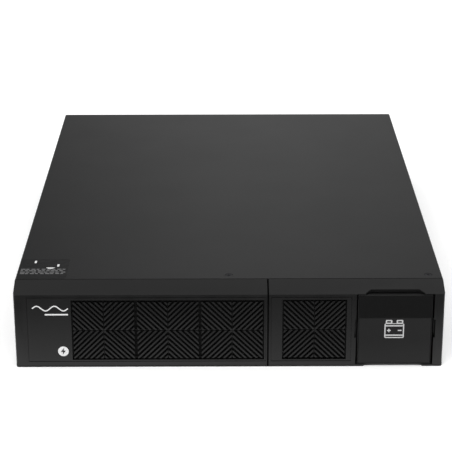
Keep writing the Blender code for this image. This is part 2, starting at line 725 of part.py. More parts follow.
def service_plug():
    """Isolating plug with a ribbed grip."""
    x, z = around(SERVICE_X, 0.034), around(SERVICE_Z, 0.016)
    body = box("service_plug", x, (PLATE_FRONT - 0.001, PLATE_FRONT + 0.018), z, 0.0005)
    grip_y = (PLATE_FRONT - 0.0053, PLATE_FRONT)
    join(body, box("grip", around(SERVICE_X, 0.024), grip_y, around(SERVICE_Z, 0.009)))
    for n in range(-2, 3):
        rib_x = around(SERVICE_X + n * 0.004, 0.0014)
        rib_z = (SERVICE_Z + 0.0037, SERVICE_Z + 0.006)
        cut(body, box("groove", rib_x, (PLATE_FRONT - 0.007, PLATE_FRONT - 0.0015), rib_z))
    return body


# ---- rear fittings -------------------------------------------------------------------------------
BOARD_X = (0.100, 0.206)
BOARD_Y = (0.140, 0.236)
BOARD_Z = (0.0100, 0.0116)


def bus_board():
    """Circuit board that joins the battery strings, on four pillars."""
    board = box("bus_board", BOARD_X, BOARD_Y, BOARD_Z)
    for x in (BOARD_X[0] + 0.006, BOARD_X[1] - 0.006):
        for y in (BOARD_Y[0] + 0.006, BOARD_Y[1] - 0.006):
            join(board, rod("pillar", (x, y, SHEET + GAP), (x, y, BOARD_Z[0] + 0.0005), 0.003, 8))
    return board


FUSE_XS = (0.128, 0.146, 0.164)
FUSE_Y = (0.168, 0.206)
FUSE_Z = 0.0215
FUSE_RADIUS = 0.0051


def fuse_carrier():
    base = box("fuse_carrier", (0.117, 0.175), widen(FUSE_Y, 0.003), (BOARD_Z[1] + GAP, FUSE_Z - 0.001))
    for x in FUSE_XS:
        start, end = (x, FUSE_Y[0] - 0.001, FUSE_Z), (x, FUSE_Y[1] + 0.001, FUSE_Z)
        cut(base, rod("trough", start, end, FUSE_RADIUS + 0.0005, 16))
    return base


def fuse(name, x):
    return rod(name, (x, FUSE_Y[0], FUSE_Z), (x, FUSE_Y[1], FUSE_Z), FUSE_RADIUS, 16)


def dc_breaker():
    """Two-pole breaker behind the rear panel. Its nose passes the cut-out; the lever swings in its slot."""
    body_y = (REAR - 0.058, REAR - SHEET - GAP)
    body = box("dc_breaker", around(BREAKER_X, 0.038), body_y, around(BREAKER_Z, 0.060), 0.0006)
    nose_y = (REAR - 0.004, REAR + 0.0035)
    join(body, box("nose", around(BREAKER_X, 0.036), nose_y, around(BREAKER_Z, 0.032), 0.0005))
    slot_y = (LEVER_PIVOT_Y - 0.006, REAR + 0.006)
    cut(body, box("slot", around(BREAKER_X, 0.026), slot_y, around(BREAKER_Z, 0.026)))
    pin = [(BREAKER_X + side * 0.016, LEVER_PIVOT_Y, BREAKER_Z) for side in (-1, 1)]
    return cut(body, rod("bearing", *pin, 0.0025, 16))


def breaker_lever():
    """Paddle on a trunnion, at rest in the raised, on position."""
    axis = Vector((BREAKER_X, LEVER_PIVOT_Y, BREAKER_Z))
    turn = Matrix.Rotation(LEVER_TILT, 4, "X")
    bm = prism_mesh([[(-0.003, -0.003), (0.012, -0.0024), (0.0165, -0.0016), (0.0165, 0.0016),
                      (0.012, 0.0024),
                      (-0.003, 0.003)]], "X", (-0.012, 0.012))
    bmesh.ops.transform(bm, matrix=Matrix.Translation(axis) @ turn, verts=bm.verts)
    lever = add("breaker_lever", bm, axis)
    trunnion = [axis + Vector((side * 0.015, 0, 0)) for side in (-1, 1)]
    return join(lever, rod("trunnion", *trunnion, 0.002, 12))


def dc_connector(name, x):
    """Two-pole battery connector with a flange against the panel and a square mouth for each pole."""
    y = (REAR - 0.036, REAR + REAR_PROUD)
    body = box(name, around(x, 0.037), y, around(REAR_CONNECTOR_Z, 0.017), 0.0004)
    flange_y = (REAR + GAP, REAR + 0.0028)
    join(body, box("flange", around(x, 0.050), flange_y, around(REAR_CONNECTOR_Z, 0.025), 0.0004))
    for side in (-1, 1):
        mouth_x = around(x + side * 0.0085, 0.013)
        mouth_y = (REAR - 0.008, REAR + REAR_PROUD + 0.001)
        cut(body, box("mouth", mouth_x, mouth_y, around(REAR_CONNECTOR_Z, 0.0115)))
    return body


def signal_jacks():
    """Pair of small jacks for the battery-detection cable."""
    depth = (REAR - 0.016, REAR + 0.001)
    body = box("signal_jacks", around(JACKS_X, 0.030), depth, around(REAR_CONNECTOR_Z, 0.014))
    flange_y = (REAR - SHEET - 0.002, REAR - SHEET - GAP)
    join(body, box("flange", around(JACKS_X, 0.036), flange_y, around(REAR_CONNECTOR_Z, 0.020)))
    for side in (-1, 1):
        x = around(JACKS_X + side * 0.0072, 0.0118)
        cut(body, box("mouth", x, (REAR - 0.013, REAR + 0.002), around(REAR_CONNECTOR_Z, 0.0085)))
    return body


def ground_stud():
    """Earth stud through the rear panel, with its nut and washer."""
    x, z = GROUND
    stud = rod("ground_stud", (x, REAR - 0.008, z), (x, REAR + 0.0095, z), 0.0024, 12)
    join(stud, rod("head", (x, REAR - 0.0045, z), (x, REAR - SHEET - GAP, z), 0.0045, 6))
    join(stud, rod("washer", (x, REAR + GAP, z), (x, REAR + 0.0013, z), 0.0060, 20))
    return join(stud, rod("nut", (x, REAR + 0.0012, z), (x, REAR + 0.0052, z), 0.0046, 6))


CABLE = 0.0024  # radius


def feed_cables():
    """Leads from the sockets behind the bays to the board, and on to the breaker and the connectors."""
    left_x = sum(LEFT_TRAY_X) / 2
    right_x = sum(RIGHT_TRAY_X) / 2
    left_y = LEFT_TRAY_END + SOCKET_END + 0.001
    right_y = RIGHT_TRAY_END + SOCKET_END + 0.001
    board_top = BOARD_Z[1] + CABLE + 0.0006
    high = CONNECTOR_Z
    return [
        tube("left_feed_positive", [
            (left_x + PIN_OFFSET, left_y, high), (left_x + PIN_OFFSET, 0.252, high),
            (-0.056, 0.262, high + 0.002), (-0.010, 0.262, 0.034), (0.026, 0.254, 0.026),
            (0.040, 0.232, 0.019), (0.062, 0.216, 0.015), (0.086, 0.211, board_top),
            (0.110, 0.210, board_top)], CABLE),
        tube("left_feed_negative", [
            (left_x - PIN_OFFSET, left_y, high), (left_x - PIN_OFFSET, 0.258, high),
            (-0.080, 0.272, high + 0.002), (-0.010, 0.273, 0.034), (0.032, 0.262, 0.026),
            (0.046, 0.238, 0.019), (0.066, 0.225, 0.015), (0.088, 0.221, board_top),
            (0.110, 0.220, board_top)], CABLE),
        tube("right_feed_positive", [
            (right_x + PIN_OFFSET, right_y, high), (right_x + PIN_OFFSET + 0.001, 0.142, 0.033),
            (right_x + PIN_OFFSET + 0.001, 0.153, 0.019), (right_x + PIN_OFFSET, 0.161, board_top)], CABLE),
        tube("right_feed_negative", [
            (right_x - PIN_OFFSET, right_y, high), (right_x - PIN_OFFSET - 0.001, 0.142, 0.033),
            (right_x - PIN_OFFSET - 0.001, 0.153, 0.019), (right_x - PIN_OFFSET, 0.161, board_top)], CABLE),
        tube("breaker_lead", [
            (BREAKER_X, REAR - 0.0590, 0.056), (BREAKER_X + 0.001, 0.224, 0.056), (0.080, 0.205, 0.046),
            (0.092, 0.194, 0.026), (0.104, 0.190, board_top + 0.001), (0.111, 0.190, board_top)], CABLE),
        tube("output_lead", [
            (0.178, REAR - 0.0370, 0.044), (0.179, 0.248, 0.042), (0.184, 0.236, 0.030),
            (0.190, 0.226, 0.018), (0.191, 0.216, board_top)], CABLE),
    ]


# ---- assembly ------------------------------------------------------------------------------------
def build():
    clear_scene()
    steel = finish("black_powder_coat", (0.035, 0.035, 0.036), 0.5, 0.1)
    zinc = finish("zinc_plated_steel", (0.55, 0.56, 0.58), 0.35, 1.0)
    plastic = finish("black_plastic", (0.025, 0.025, 0.026), 0.45)
    gloss = finish("gloss_black", (0.010, 0.010, 0.011), 0.08)
    grey = finish("grey_housing", (0.20, 0.21, 0.22), 0.5)
    casing = finish("battery_casing", (0.05, 0.052, 0.055), 0.55)
    webbing = finish("webbing", (0.03, 0.03, 0.03), 0.9)
    board_green = finish("circuit_board", (0.02, 0.09, 0.05), 0.4)
    ceramic = finish("fuse_body", (0.75, 0.74, 0.70), 0.5)
    liner = finish("slide_liner", (0.70, 0.70, 0.68), 0.5)
    red = finish("red_cable", (0.45, 0.03, 0.03), 0.5)
    black = finish("black_cable", (0.02, 0.02, 0.02), 0.5)

    left_x = sum(LEFT_TRAY_X) / 2
    right_x = sum(RIGHT_TRAY_X) / 2
    inner = HALF - JOGGLE - SHEET - GAP
    paint(steel, base_tray(), top_cover(), front_frame(), rear_panel())
    paint(zinc, bay_divider())
    paint(zinc, bulkhead("left_bulkhead", (-inner, SPLIT_X - 0.001), LEFT_TRAY_END + BULKHEAD, left_x))
    paint(zinc, bulkhead("right_bulkhead", (SPLIT_X + 0.009, inner), RIGHT_TRAY_END + BULKHEAD, right_x))
    paint(liner, slide_mat("left_slide_mat", LEFT_TRAY_X, LEFT_TRAY_END))
    paint(liner, slide_mat("right_slide_mat", RIGHT_TRAY_X, RIGHT_TRAY_END))
    paint(plastic, drawer_socket("left_socket", left_x, LEFT_TRAY_END))
    paint(plastic, drawer_socket("right_socket", right_x, RIGHT_TRAY_END))
    paint(board_green, bus_board())
    paint(plastic, fuse_carrier(), dc_breaker(), signal_jacks())
    for n, x in enumerate(FUSE_XS, 1):
        paint(ceramic, fuse(f"fuse_{n}", x))
    paint(grey, dc_connector("output_connector", CONNECTOR_XS[1]))
    paint(grey, dc_connector("link_connector", CONNECTOR_XS[0]))
    paint(zinc, ground_stud())
    for n, x in enumerate(SCREW_XS, 1):
        paint(steel, cover_screw(f"cover_screw_{n}", x))
    for cable in feed_cables():
        paint(black if cable.name.endswith("negative") else red, cable)

    lever = breaker_lever()
    paint(gloss, lever)
    mount(carrier("lever_axis", lever.location.copy()), lever)

    left_drawer = carrier("left_drawer_axis", (left_x, PLATE_FRONT, TRAY_LOW))
    tray = drawer_tray("left_tray", LEFT_TRAY_X, LEFT_PLATE_X, LEFT_TRAY_END, "left", (-0.190, 0.0215))
    blocks = []
    low = TRAY_LOW + TRAY_SHEET + GAP + BLOCK_WIDTH / 2
    for back, way in LEFT_COLUMNS:
        for row in LEFT_ROWS:
            name = f"battery_{len(blocks) + 1}"
            blocks.append(battery(name, (back, row, low), (way, 0, 0), (0, way, 0)))
    plug = drawer_plug("left_plug", left_x, LEFT_TRAY_END)
    strap = hold_down("left_hold_down", LEFT_TRAY_X, LEFT_ROWS[1])
    handle = pull_strap("left_pull_strap", -0.088, 0.041)
    screws = [thumbscrew(f"left_thumbscrew_{n}", *place) for n, place in enumerate(THUMBSCREWS["left"], 1)]
    paint(zinc, tray, strap, *screws)
    paint(casing, *blocks)
    paint(plastic, plug)
    paint(webbing, handle)
    mount(left_drawer, tray, *blocks, plug, strap, handle, *screws)

    front = carrier("left_bezel_axis", (left_x, BEZEL_REAR, HEIGHT / 2))
    pieces = left_bezel(), grille("left_grille", GRILLE_LEFT, 3)
    paint(plastic, *pieces)
    mount(front, *pieces)

    right_drawer = carrier("right_drawer_axis", (right_x, PLATE_FRONT, TRAY_LOW))
    tray = drawer_tray("right_tray", RIGHT_TRAY_X, RIGHT_PLATE_X, RIGHT_TRAY_END, "right", (0.0520, 0.2130))
    hole_y = (PLATE_FRONT - 0.001, PLATE_FRONT + 0.002)
    cut(tray, box("service_hole", around(SERVICE_X, 0.042), hole_y, around(SERVICE_Z, 0.024)))
    blocks = []
    for n, back in enumerate(RIGHT_ROWS, 7):
        blocks.append(battery(f"battery_{n}", (RIGHT_BLOCK_X, back, low), (0, -1, 0), (1, 0, 0)))
    plug = drawer_plug("right_plug", right_x, RIGHT_TRAY_END)
    strap = hold_down("right_hold_down", RIGHT_TRAY_X, RIGHT_ROWS[1] - BLOCK_HEIGHT / 2)
    handle = pull_strap("right_pull_strap", 0.0868, 0.041)
    screws = [thumbscrew(f"right_thumbscrew_{n}", *place) for n, place in enumerate(THUMBSCREWS["right"], 1)]
    socket = service_socket()
    paint(zinc, tray, strap, *screws)
    paint(casing, *blocks)
    paint(plastic, plug, socket)
    paint(webbing, handle)
    mount(right_drawer, tray, *blocks, plug, strap, handle, *screws, socket)

    front = carrier("right_bezel_axis", (right_x, BEZEL_REAR, HEIGHT / 2))
    pieces = right_bezel(), grille("right_grille", GRILLE_RIGHT, 1)
    paint(plastic, *pieces)
    mount(front, *pieces)

    cover, plate = battery_cover(), cover_plate()
    paint(plastic, cover)
    paint(gloss, plate)
    mount(carrier("cover_axis", (COVER_X, FRONT, COVER_Z)), cover, plate)

    isolator = service_plug()
    paint(grey, isolator)
    mount(carrier("service_plug_axis", (SERVICE_X, PLATE_FRONT, SERVICE_Z)), isolator)


build()
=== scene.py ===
"""Looks of the battery module: materials, grilles, marks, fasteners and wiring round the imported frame."""

import json
import math

import bmesh
import bpy
from mathutils import Matrix, Vector


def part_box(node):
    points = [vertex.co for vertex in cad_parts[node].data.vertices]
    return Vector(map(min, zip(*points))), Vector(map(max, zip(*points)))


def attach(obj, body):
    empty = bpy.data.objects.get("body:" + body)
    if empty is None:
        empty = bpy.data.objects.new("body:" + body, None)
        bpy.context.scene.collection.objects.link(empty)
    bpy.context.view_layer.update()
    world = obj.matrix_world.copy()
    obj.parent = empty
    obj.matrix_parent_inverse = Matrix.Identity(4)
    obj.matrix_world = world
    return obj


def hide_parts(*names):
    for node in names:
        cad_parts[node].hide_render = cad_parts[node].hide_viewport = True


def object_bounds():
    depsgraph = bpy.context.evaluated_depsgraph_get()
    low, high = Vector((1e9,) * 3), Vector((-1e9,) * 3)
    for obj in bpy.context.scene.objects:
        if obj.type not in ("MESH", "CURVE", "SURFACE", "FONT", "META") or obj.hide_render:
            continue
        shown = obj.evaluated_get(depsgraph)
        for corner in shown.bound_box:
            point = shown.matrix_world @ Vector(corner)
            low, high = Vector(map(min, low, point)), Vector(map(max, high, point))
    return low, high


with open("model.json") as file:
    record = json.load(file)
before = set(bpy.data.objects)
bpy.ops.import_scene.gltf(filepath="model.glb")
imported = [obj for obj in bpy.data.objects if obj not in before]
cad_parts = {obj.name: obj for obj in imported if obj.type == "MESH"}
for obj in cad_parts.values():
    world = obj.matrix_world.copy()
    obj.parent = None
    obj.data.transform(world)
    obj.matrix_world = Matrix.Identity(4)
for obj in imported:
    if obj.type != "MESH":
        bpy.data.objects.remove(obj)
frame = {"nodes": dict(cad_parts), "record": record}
cad_low, cad_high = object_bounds()
nodes = frame["nodes"]

MM = 0.001
FRONT = cad_low.y
INK = 0.03 * MM  # how far a printed mark stands off its surface, and goes into it
SMOOTH_ANGLE = math.radians(32)
WELD = 1e-4  # in millimetres: points this close are one
LEFT, RIGHT, FORWARD, BACKWARD, UP = (-1, 0, 0), (1, 0, 0), (0, -1, 0), (0, 1, 0), (0, 0, 1)

# ---- camera and light ----
CAMERA_SIDE = -0.00455
CAMERA_DISTANCE = 1.525  # in front of the bezel face
CAMERA_HEIGHT = 0.7324
CAMERA_PITCH, CAMERA_YAW, CAMERA_ROLL = (math.radians(turn) for turn in (20.77, -0.06, -0.13))
LENS = 130.404
SENSOR = 36.0
SKY = 1.0
FLOOR_COLOUR = 0.93
FLOOR_GLOW = 0.15
FLOOR_LEVEL = -0.8 * MM
FLOOR_REACH = 30.0

# The cards show only in reflections. A fall lists an axis, two places along it, and the shares of the card's
# light there.
BRIGHT_FLOOR_REACH = 0.118  # how far ahead of the face the front still mirrors bright floor
NEAR_FLOOR = 1.0
NEAR_FLOOR_FALLS = [("Y", FRONT - 0.06, FRONT, 1.0, 1.45), ("X", -0.08, 0.05, 1.0, 0.86),
                    ("X", 0.12, 0.22, 1.0, 1.15)]
DARK_SURROUND = 0.085
SIDE_FLOOR = 4.0
SIDE_FLOOR_SPAN = (0.224, 0.36)  # where the brighter floor beside the front lies, from the middle
SIDE_FLOOR_DEPTH = 0.09
CEILING = 0.66
CEILING_FALLS = [("X", -0.3, 0.6, 1.0, 1.3)]
CARD_REACH = 4.0
CARD_TOP = 3.0
BACK_CARD = 3.2  # metres behind the middle
BACK_CARD_FOOT = 0.02
BACK_GLOW = 1.015
BACK_FALLS = [("Z", 0.0, 2.3, 0.87, 0.235), ("X", -1.1, 0.0, 0.06, 1.0), ("X", 0.1, 1.5, 1.0, 0.42)]


# ---- materials ----
def add(tree, kind, settings=None, **inputs):
    """A new node. Inputs are named by socket, or by _ and a socket's number, and hold values or links."""
    node = tree.nodes.new(kind)
    for key, value in (settings or {}).items():
        setattr(node, key, value)
    for key, value in inputs.items():
        socket = node.inputs[int(key[1:])] if key[0] == "_" else node.inputs[key.replace("_", " ")]
        if isinstance(value, bpy.types.NodeSocket):
            tree.links.new(value, socket)
        else:
            socket.default_value = value
    return node


class Surface:
    """A Principled material, to which textures are added in object space, in metres."""

    def __init__(self, name, colour, roughness, metallic=0.0, specular=0.5):
        self.material = bpy.data.materials.new(name)
        self.material.use_nodes = True
        self.tree = self.material.node_tree
        self.shader = self.tree.nodes["Principled BSDF"]
        self.set("Base Color", (*colour, 1))
        self.set("Roughness", roughness)
        self.set("Metallic", metallic)
        self.set("Specular IOR Level", specular)
        self.place = self.add("TexCoord").outputs["Object"]
        self.normal = None

    def set(self, socket, value):
        self.shader.inputs[socket].default_value = value

    def add(self, kind, settings=None, **inputs):
        return add(self.tree, "ShaderNode" + kind, settings, **inputs)

    def noise(self, scale, detail, stretch=None):
        where = self.add("Mapping", Vector=self.place, Scale=stretch).outputs[0] if stretch else self.place
        return self.add("TexNoise", Vector=where, Scale=scale, Detail=detail).outputs["Fac"]

    def levels(self, value, low, high, start=0.35, end=0.65):
        """value turned into a number between low and high, over its range from start to end."""
        ends = {"From_Min": start, "From_Max": end, "To_Min": low, "To_Max": high}
        return self.add("MapRange", Value=value, **ends).outputs[0]

    def mix(self, factor, low, high):
        return self.add("Mix", {"data_type": "RGBA"}, _0=factor, _6=low, _7=high).outputs[2]

    def colours(self, value, low, high, start=0.35, end=0.65):
        return self.mix(self.levels(value, 0.0, 1.0, start, end), (*low, 1), (*high, 1))

    def link(self, value, socket):
        self.tree.links.new(value, self.shader.inputs[socket])

    def paint(self, *ends):
        self.link(self.colours(*ends), "Base Color")

    def rough(self, *ends):
        self.link(self.levels(*ends), "Roughness")

    def product(self, one, other):
        return self.add("Math", {"operation": "MULTIPLY"}, _0=one, _1=other).outputs[0]

    def bump(self, height, distance, strength):
        settings = {"Height": height, "Distance": distance, "Strength": strength}
        if self.normal:
            settings["Normal"] = self.normal
        self.normal = self.add("Bump", **settings).outputs[0]
        self.link(self.normal, "Normal")

    def edge_wear(self, colour, worn, radius, amount):
        """Lightens the outer edges a little, more in some places than in others."""
        rounded = self.add("Bevel", {"samples": 4}, Radius=radius).outputs[0]
        plain = self.add("NewGeometry").outputs["Normal"]
        facing = self.add("VectorMath", {"operation": "DOT_PRODUCT"}, _0=rounded, _1=plain).outputs["Value"]
        edge = self.levels(facing, amount, 0.0, 0.90, 0.995)
        broken = self.product(edge, self.noise(90, 4))
        self.link(self.mix(broken, colour, (*worn, 1)), "Base Color")


def powder_coat():
    look = Surface("powder_coat", (0.012, 0.012, 0.0125), 0.46, specular=0.22)
    colour = look.colours(look.noise(260, 3), (0.0080, 0.0080, 0.0082), (0.0092, 0.0092, 0.0094))
    look.edge_wear(colour, (0.04, 0.04, 0.041), 0.0006, 0.5)
    look.rough(look.noise(14, 4), 0.335, 0.355)
    look.bump(look.noise(1500, 2), 0.00004, 0.35)
    look.bump(look.noise(420, 1), 0.00005, 0.2)
    return look.material


def moulded_plastic(name="moulded_plastic", shade=0.0043, roughness=0.38, specular=0.308):
    look = Surface(name, (shade,) * 3, roughness, specular=specular)
    colour = look.colours(look.noise(12, 4), (shade * 0.9,) * 3, (shade * 1.12,) * 3)
    look.edge_wear(colour, (shade * 3,) * 3, 0.0005, 0.4)
    look.rough(look.noise(55, 4), roughness - 0.03, roughness + 0.04)
    look.bump(look.noise(3200, 1), 0.00002, 0.35)
    return look.material


def gloss_plate():
    look = Surface("gloss_plate", (0.0069,) * 3, 0.04, specular=0.180)
    look.rough(look.noise(160, 6), 0.025, 0.055)
    specks = look.add("TexVoronoi", Vector=look.place, Scale=260).outputs["Distance"]
    look.paint(specks, (0.010,) * 3, (0.0069,) * 3, 0.02, 0.05)
    look.bump(look.noise(25, 1), 0.00002, 0.15)
    return look.material


def tinted(colour, share):
    return tuple(share * channel for channel in colour)


def varied(name, colour, roughness, paint, rough, bump, spread=(0.35, 0.65), **kinds):
    """A surface whose colour, roughness and relief follow three noises. Each lists its scale and detail, then
    two colours, two levels, or the relief's distance and strength and how the noise is stretched."""
    look = Surface(name, colour, roughness, **kinds)
    scale, detail, low, high = paint
    look.paint(look.noise(scale, detail), low, high, *spread)
    scale, detail, low, high = rough
    look.rough(look.noise(scale, detail), low, high)
    scale, detail, distance, strength, *stretch = bump
    look.bump(look.noise(scale, detail, *stretch), distance, strength)
    return look.material


def zinc():
    """Zinc-plated sheet: bluish grey with faint grain along the rolling direction and duller blotches."""
    paint = (22, 5, (0.34, 0.355, 0.38), (0.50, 0.51, 0.52))
    grain = (700, 3, 0.00003, 0.25, (1.0, 0.04, 1.0))
    return varied("zinc", (0.42, 0.43, 0.45), 0.34, paint, (45, 5, 0.27, 0.44), grain, metallic=1.0)


def metal(name, colour, roughness):
    paint = (240, 4, tinted(colour, 0.8), colour)
    rough = (500, 3, roughness - 0.06, roughness + 0.1)
    return varied(name, colour, roughness, paint, rough, (1800, 2, 0.00002, 0.2), metallic=1.0)


def battery_casing():
    paint = (18, 5, (0.024, 0.025, 0.027), (0.034, 0.035, 0.038))
    rough, bump = (60, 4, 0.42, 0.58), (1700, 2, 0.00004, 0.4)
    return varied("battery_casing", (0.028, 0.029, 0.031), 0.5, paint, rough, bump, specular=0.35)


def ceramic():
    paint = (140, 4, (0.62, 0.60, 0.55), (0.76, 0.74, 0.70))
    rough, bump = (200, 3, 0.36, 0.52), (1200, 2, 0.00003, 0.3)
    return varied("ceramic", (0.72, 0.70, 0.65), 0.45, paint, rough, bump)


def liner():
    """Low-friction sheet, faintly scored along the drawers' way."""
    paint = (60, 5, (0.48, 0.47, 0.43), (0.60, 0.59, 0.55))
    rough, bump = (30, 4, 0.4, 0.6), (600, 2, 0.00004, 0.3, (1.0, 0.08, 1.0))
    return varied("slide_liner", (0.55, 0.54, 0.50), 0.5, paint, rough, bump)


def sheath(name, colour):
    """Extruded cable sheath, with a slight unevenness and dust."""
    paint = (120, 3, tinted(colour, 0.8), tinted(colour, 1.15))
    return varied(name, colour, 0.42, paint, (300, 3, 0.34, 0.52), (900, 2, 0.00004, 0.3), specular=0.4)


def ink(name, colour):
    """Screen-printed ink, a little uneven in its cover."""
    paint = (900, 3, tinted(colour, 0.88), colour)
    rough, bump = (400, 2, 0.44, 0.58), (2600, 1, 0.00001, 0.3)
    return varied(name, colour, 0.5, paint, rough, bump, (0.3, 0.5), specular=0.3)


def film(name, colour, roughness, specular=0.3):
    """Printed plastic film with a soft orange-peel surface."""
    paint = (35, 4, tinted(colour, 0.9), tinted(colour, 1.08))
    rough = (220, 3, roughness - 0.05, roughness + 0.06)
    return varied(name, colour, roughness, paint, rough, (260, 2, 0.00003, 0.3), specular=specular)


def webbing():
    """Flat woven strap: ribs across it and a finer twill along it."""
    look = Surface("webbing", (0.016,) * 3, 0.85, specular=0.2)
    bands = []
    for direction, scale in (("X", 190), ("Z", 260)):
        settings = {"bands_direction": direction}
        wave = look.add("TexWave", settings, Vector=look.place, Scale=scale, Distortion=0.4)
        bands.append(wave.outputs["Fac"])
    weave = look.product(*bands)
    look.paint(weave, (0.008,) * 3, (0.03,) * 3, 0.1, 0.8)
    look.set("Sheen Weight", 0.25)
    look.bump(weave, 0.0004, 0.6)
    return look.material


def circuit_board():
    look = Surface("circuit_board", (0.012, 0.07, 0.03), 0.32)
    tracks = look.add("TexBrick", Vector=look.place, Scale=180, Mortar_Size=0.04).outputs["Fac"]
    look.paint(tracks, (0.012, 0.075, 0.032), (0.03, 0.13, 0.05), 0.2, 0.8)
    look.rough(look.noise(90, 3), 0.26, 0.40)
    look.bump(tracks, 0.00005, 0.6)
    return look.material


def foam():
    """Open-cell foam: small dark pores in a matt black sponge."""
    look = Surface("foam", (0.004,) * 3, 0.95, specular=0.1)
    pores = look.add("TexVoronoi", Vector=look.place, Scale=1100).outputs["Distance"]
    look.paint(pores, (0.0012,) * 3, (0.0055,) * 3, 0.1, 0.5)
    look.rough(look.noise(300, 3), 0.88, 1.0)
    look.bump(pores, 0.0004, 0.8)
    return look.material


PLASTICS = {  # brightness, roughness and specular level
    # The lattice's plastic is darker and duller than the slats' and the bezel's: painted shade for its place
    # set back behind the slats.
    "slat_plastic": (0.0060, 0.38, 0.255), "lattice_plastic": (0.0035, 0.5, 0.15),
    "grey_housing": (0.14, 0.48, 0.4), "dark_housing": (0.014, 0.42, 0.3),
}
METALS = {
    "tin": ((0.66, 0.65, 0.63), 0.28), "brass": ((0.62, 0.44, 0.20), 0.3),
    "black_steel": ((0.05, 0.05, 0.055), 0.42), "bright_steel": ((0.56, 0.57, 0.58), 0.26),
}
FILMS = {
    "label_film": ((0.0075, 0.0075, 0.0078), 0.36, 0.165), "battery_film": ((0.46, 0.47, 0.48), 0.38),
    "silver_film": ((0.40, 0.41, 0.42), 0.32),
}
SHEATHS = {
    "red_cable": (0.30, 0.012, 0.010), "black_cable": (0.012,) * 3, "thread": (0.10,) * 3,
    "red_boot": (0.36, 0.016, 0.012), "black_boot": (0.016,) * 3,
}
INKS = {
    "white_ink": (0.62,) * 3, "pale_ink": (0.42,) * 3, "grey_ink": (0.14, 0.14, 0.142),
    "green_ink": (0.02, 0.16, 0.07), "dark_ink": (0.03, 0.03, 0.032),
}
LOOKS = {
    "powder_coat": powder_coat(), "zinc": zinc(), "black_plastic": moulded_plastic(),
    "gloss_black": gloss_plate(), "battery_casing": battery_casing(), "webbing": webbing(),
    "circuit_board": circuit_board(), "fuse_body": ceramic(), "slide_liner": liner(), "foam": foam(),
}
for make, kinds in ((moulded_plastic, PLASTICS), (metal, METALS), (film, FILMS)):
    LOOKS |= {name: make(name, *values) for name, values in kinds.items()}
for make, kinds in ((sheath, SHEATHS), (ink, INKS)):
    LOOKS |= {name: make(name, colour) for name, colour in kinds.items()}


# ---- shapes ----
def shade_smoothly():
    """Node group that joins the frame's separate triangles and shades them smooth across shallow edges."""
    group = bpy.data.node_groups.new("join_and_smooth", "GeometryNodeTree")
    for way in ("INPUT", "OUTPUT"):
        group.interface.new_socket("Geometry", in_out=way, socket_type="NodeSocketGeometry")
    start = add(group, "NodeGroupInput").outputs[0]
    joined = add(group, "GeometryNodeMergeByDistance", Geometry=start, Distance=1e-6).outputs[0]
    faces = add(group, "GeometryNodeSetShadeSmooth", {"domain": "FACE"}, Geometry=joined).outputs[0]
    angle = add(group, "GeometryNodeInputMeshEdgeAngle").outputs["Unsigned Angle"]
    below = {"data_type": "FLOAT", "operation": "LESS_THAN"}
    shallow = add(group, "FunctionNodeCompare", below, _0=angle, _1=SMOOTH_ANGLE).outputs[0]
    edges = add(group, "GeometryNodeSetShadeSmooth", {"domain": "EDGE"}, Geometry=faces, Shade_Smooth=shallow)
    add(group, "NodeGroupOutput", _0=edges.outputs[0])
    return group


SMOOTHING = shade_smoothly()


def placed(name, data):
    """A new object in the scene."""
    thing = bpy.data.objects.new(name, data)
    bpy.context.scene.collection.objects.link(thing)
    return thing


def dress(name, look, bevel):
    """Gives a node of the frame its material, smooth round faces and, with bevel, softened edges."""
    thing, mesh = nodes[name], nodes[name].data
    mesh.materials.clear()
    mesh.materials.append(LOOKS[look])
    if "custom_normal" in mesh.attributes:
        mesh.attributes.remove(mesh.attributes["custom_normal"])
    thing.modifiers.new("smooth", "NODES").node_group = SMOOTHING
    if bevel:
        soften = thing.modifiers.new("soft_edges", "BEVEL")
        soften.width = bevel
        soften.segments = 2
        soften.limit_method = "ANGLE"
        soften.angle_limit = math.radians(40)
        soften.harden_normals = True


def show(name, mesh, look, body="chassis", smooth=False):
    """A new piece of the object from a mesh whose points are already in place."""
    thing = placed(name, mesh)
    mesh.materials.append(LOOKS[look])
    if smooth:
        mesh.shade_smooth()
        mesh.set_sharp_from_angle(angle=SMOOTH_ANGLE)
    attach(thing, body)
    return thing


def middle(node):
    """Centre of a node of the frame."""
    low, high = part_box(node)
    return (low + high) / 2


def mesh_of(curve):
    """Closed mesh, in metres, of a curve that is drawn in millimetres."""
    guide = placed("guide", curve)
    bpy.context.view_layer.update()
    mesh = bpy.data.meshes.new_from_object(guide.evaluated_get(bpy.context.evaluated_depsgraph_get()))
    bpy.data.objects.remove(guide)
    face_outward(mesh, WELD)
    mesh.transform(Matrix.Scale(MM, 4))
    return mesh


PLANES = {  # how an outline is turned, and the axis that it is given its thickness along
    "front": (Matrix(((1, 0, 0), (0, 0, -1), (0, 1, 0))), BACKWARD),
    "top": (Matrix.Identity(3), UP),
    "side": (Matrix(((0, 0, 1), (1, 0, 0), (0, 1, 0))), RIGHT),
}


def flat_mesh(shapes, span, plane="front", round_edge=0.0):
    """Closed outlines in a plane, inner ones as holes, given a thickness over span and rounded edges."""
    curve = bpy.data.curves.new("outline", "CURVE")
    curve.dimensions = "2D"
    curve.fill_mode = "BOTH"
    curve.extrude = (span[1] - span[0]) / 2 / MM - round_edge / MM
    curve.bevel_depth = round_edge / MM
    curve.bevel_resolution = 1
    curve.offset = -round_edge / MM
    for shape in shapes:
        spline = curve.splines.new("POLY")
        spline.points.add(len(shape) - 1)
        spline.use_cyclic_u = True
        for point, (u, v) in zip(spline.points, shape):
            point.co = (u / MM, v / MM, 0, 1)
    mesh = mesh_of(curve)
    turn, outward = PLANES[plane]
    mesh.transform(turn.to_4x4())
    mesh.transform(Matrix.Translation(Vector(outward) * (span[0] + span[1]) / 2))
    return mesh


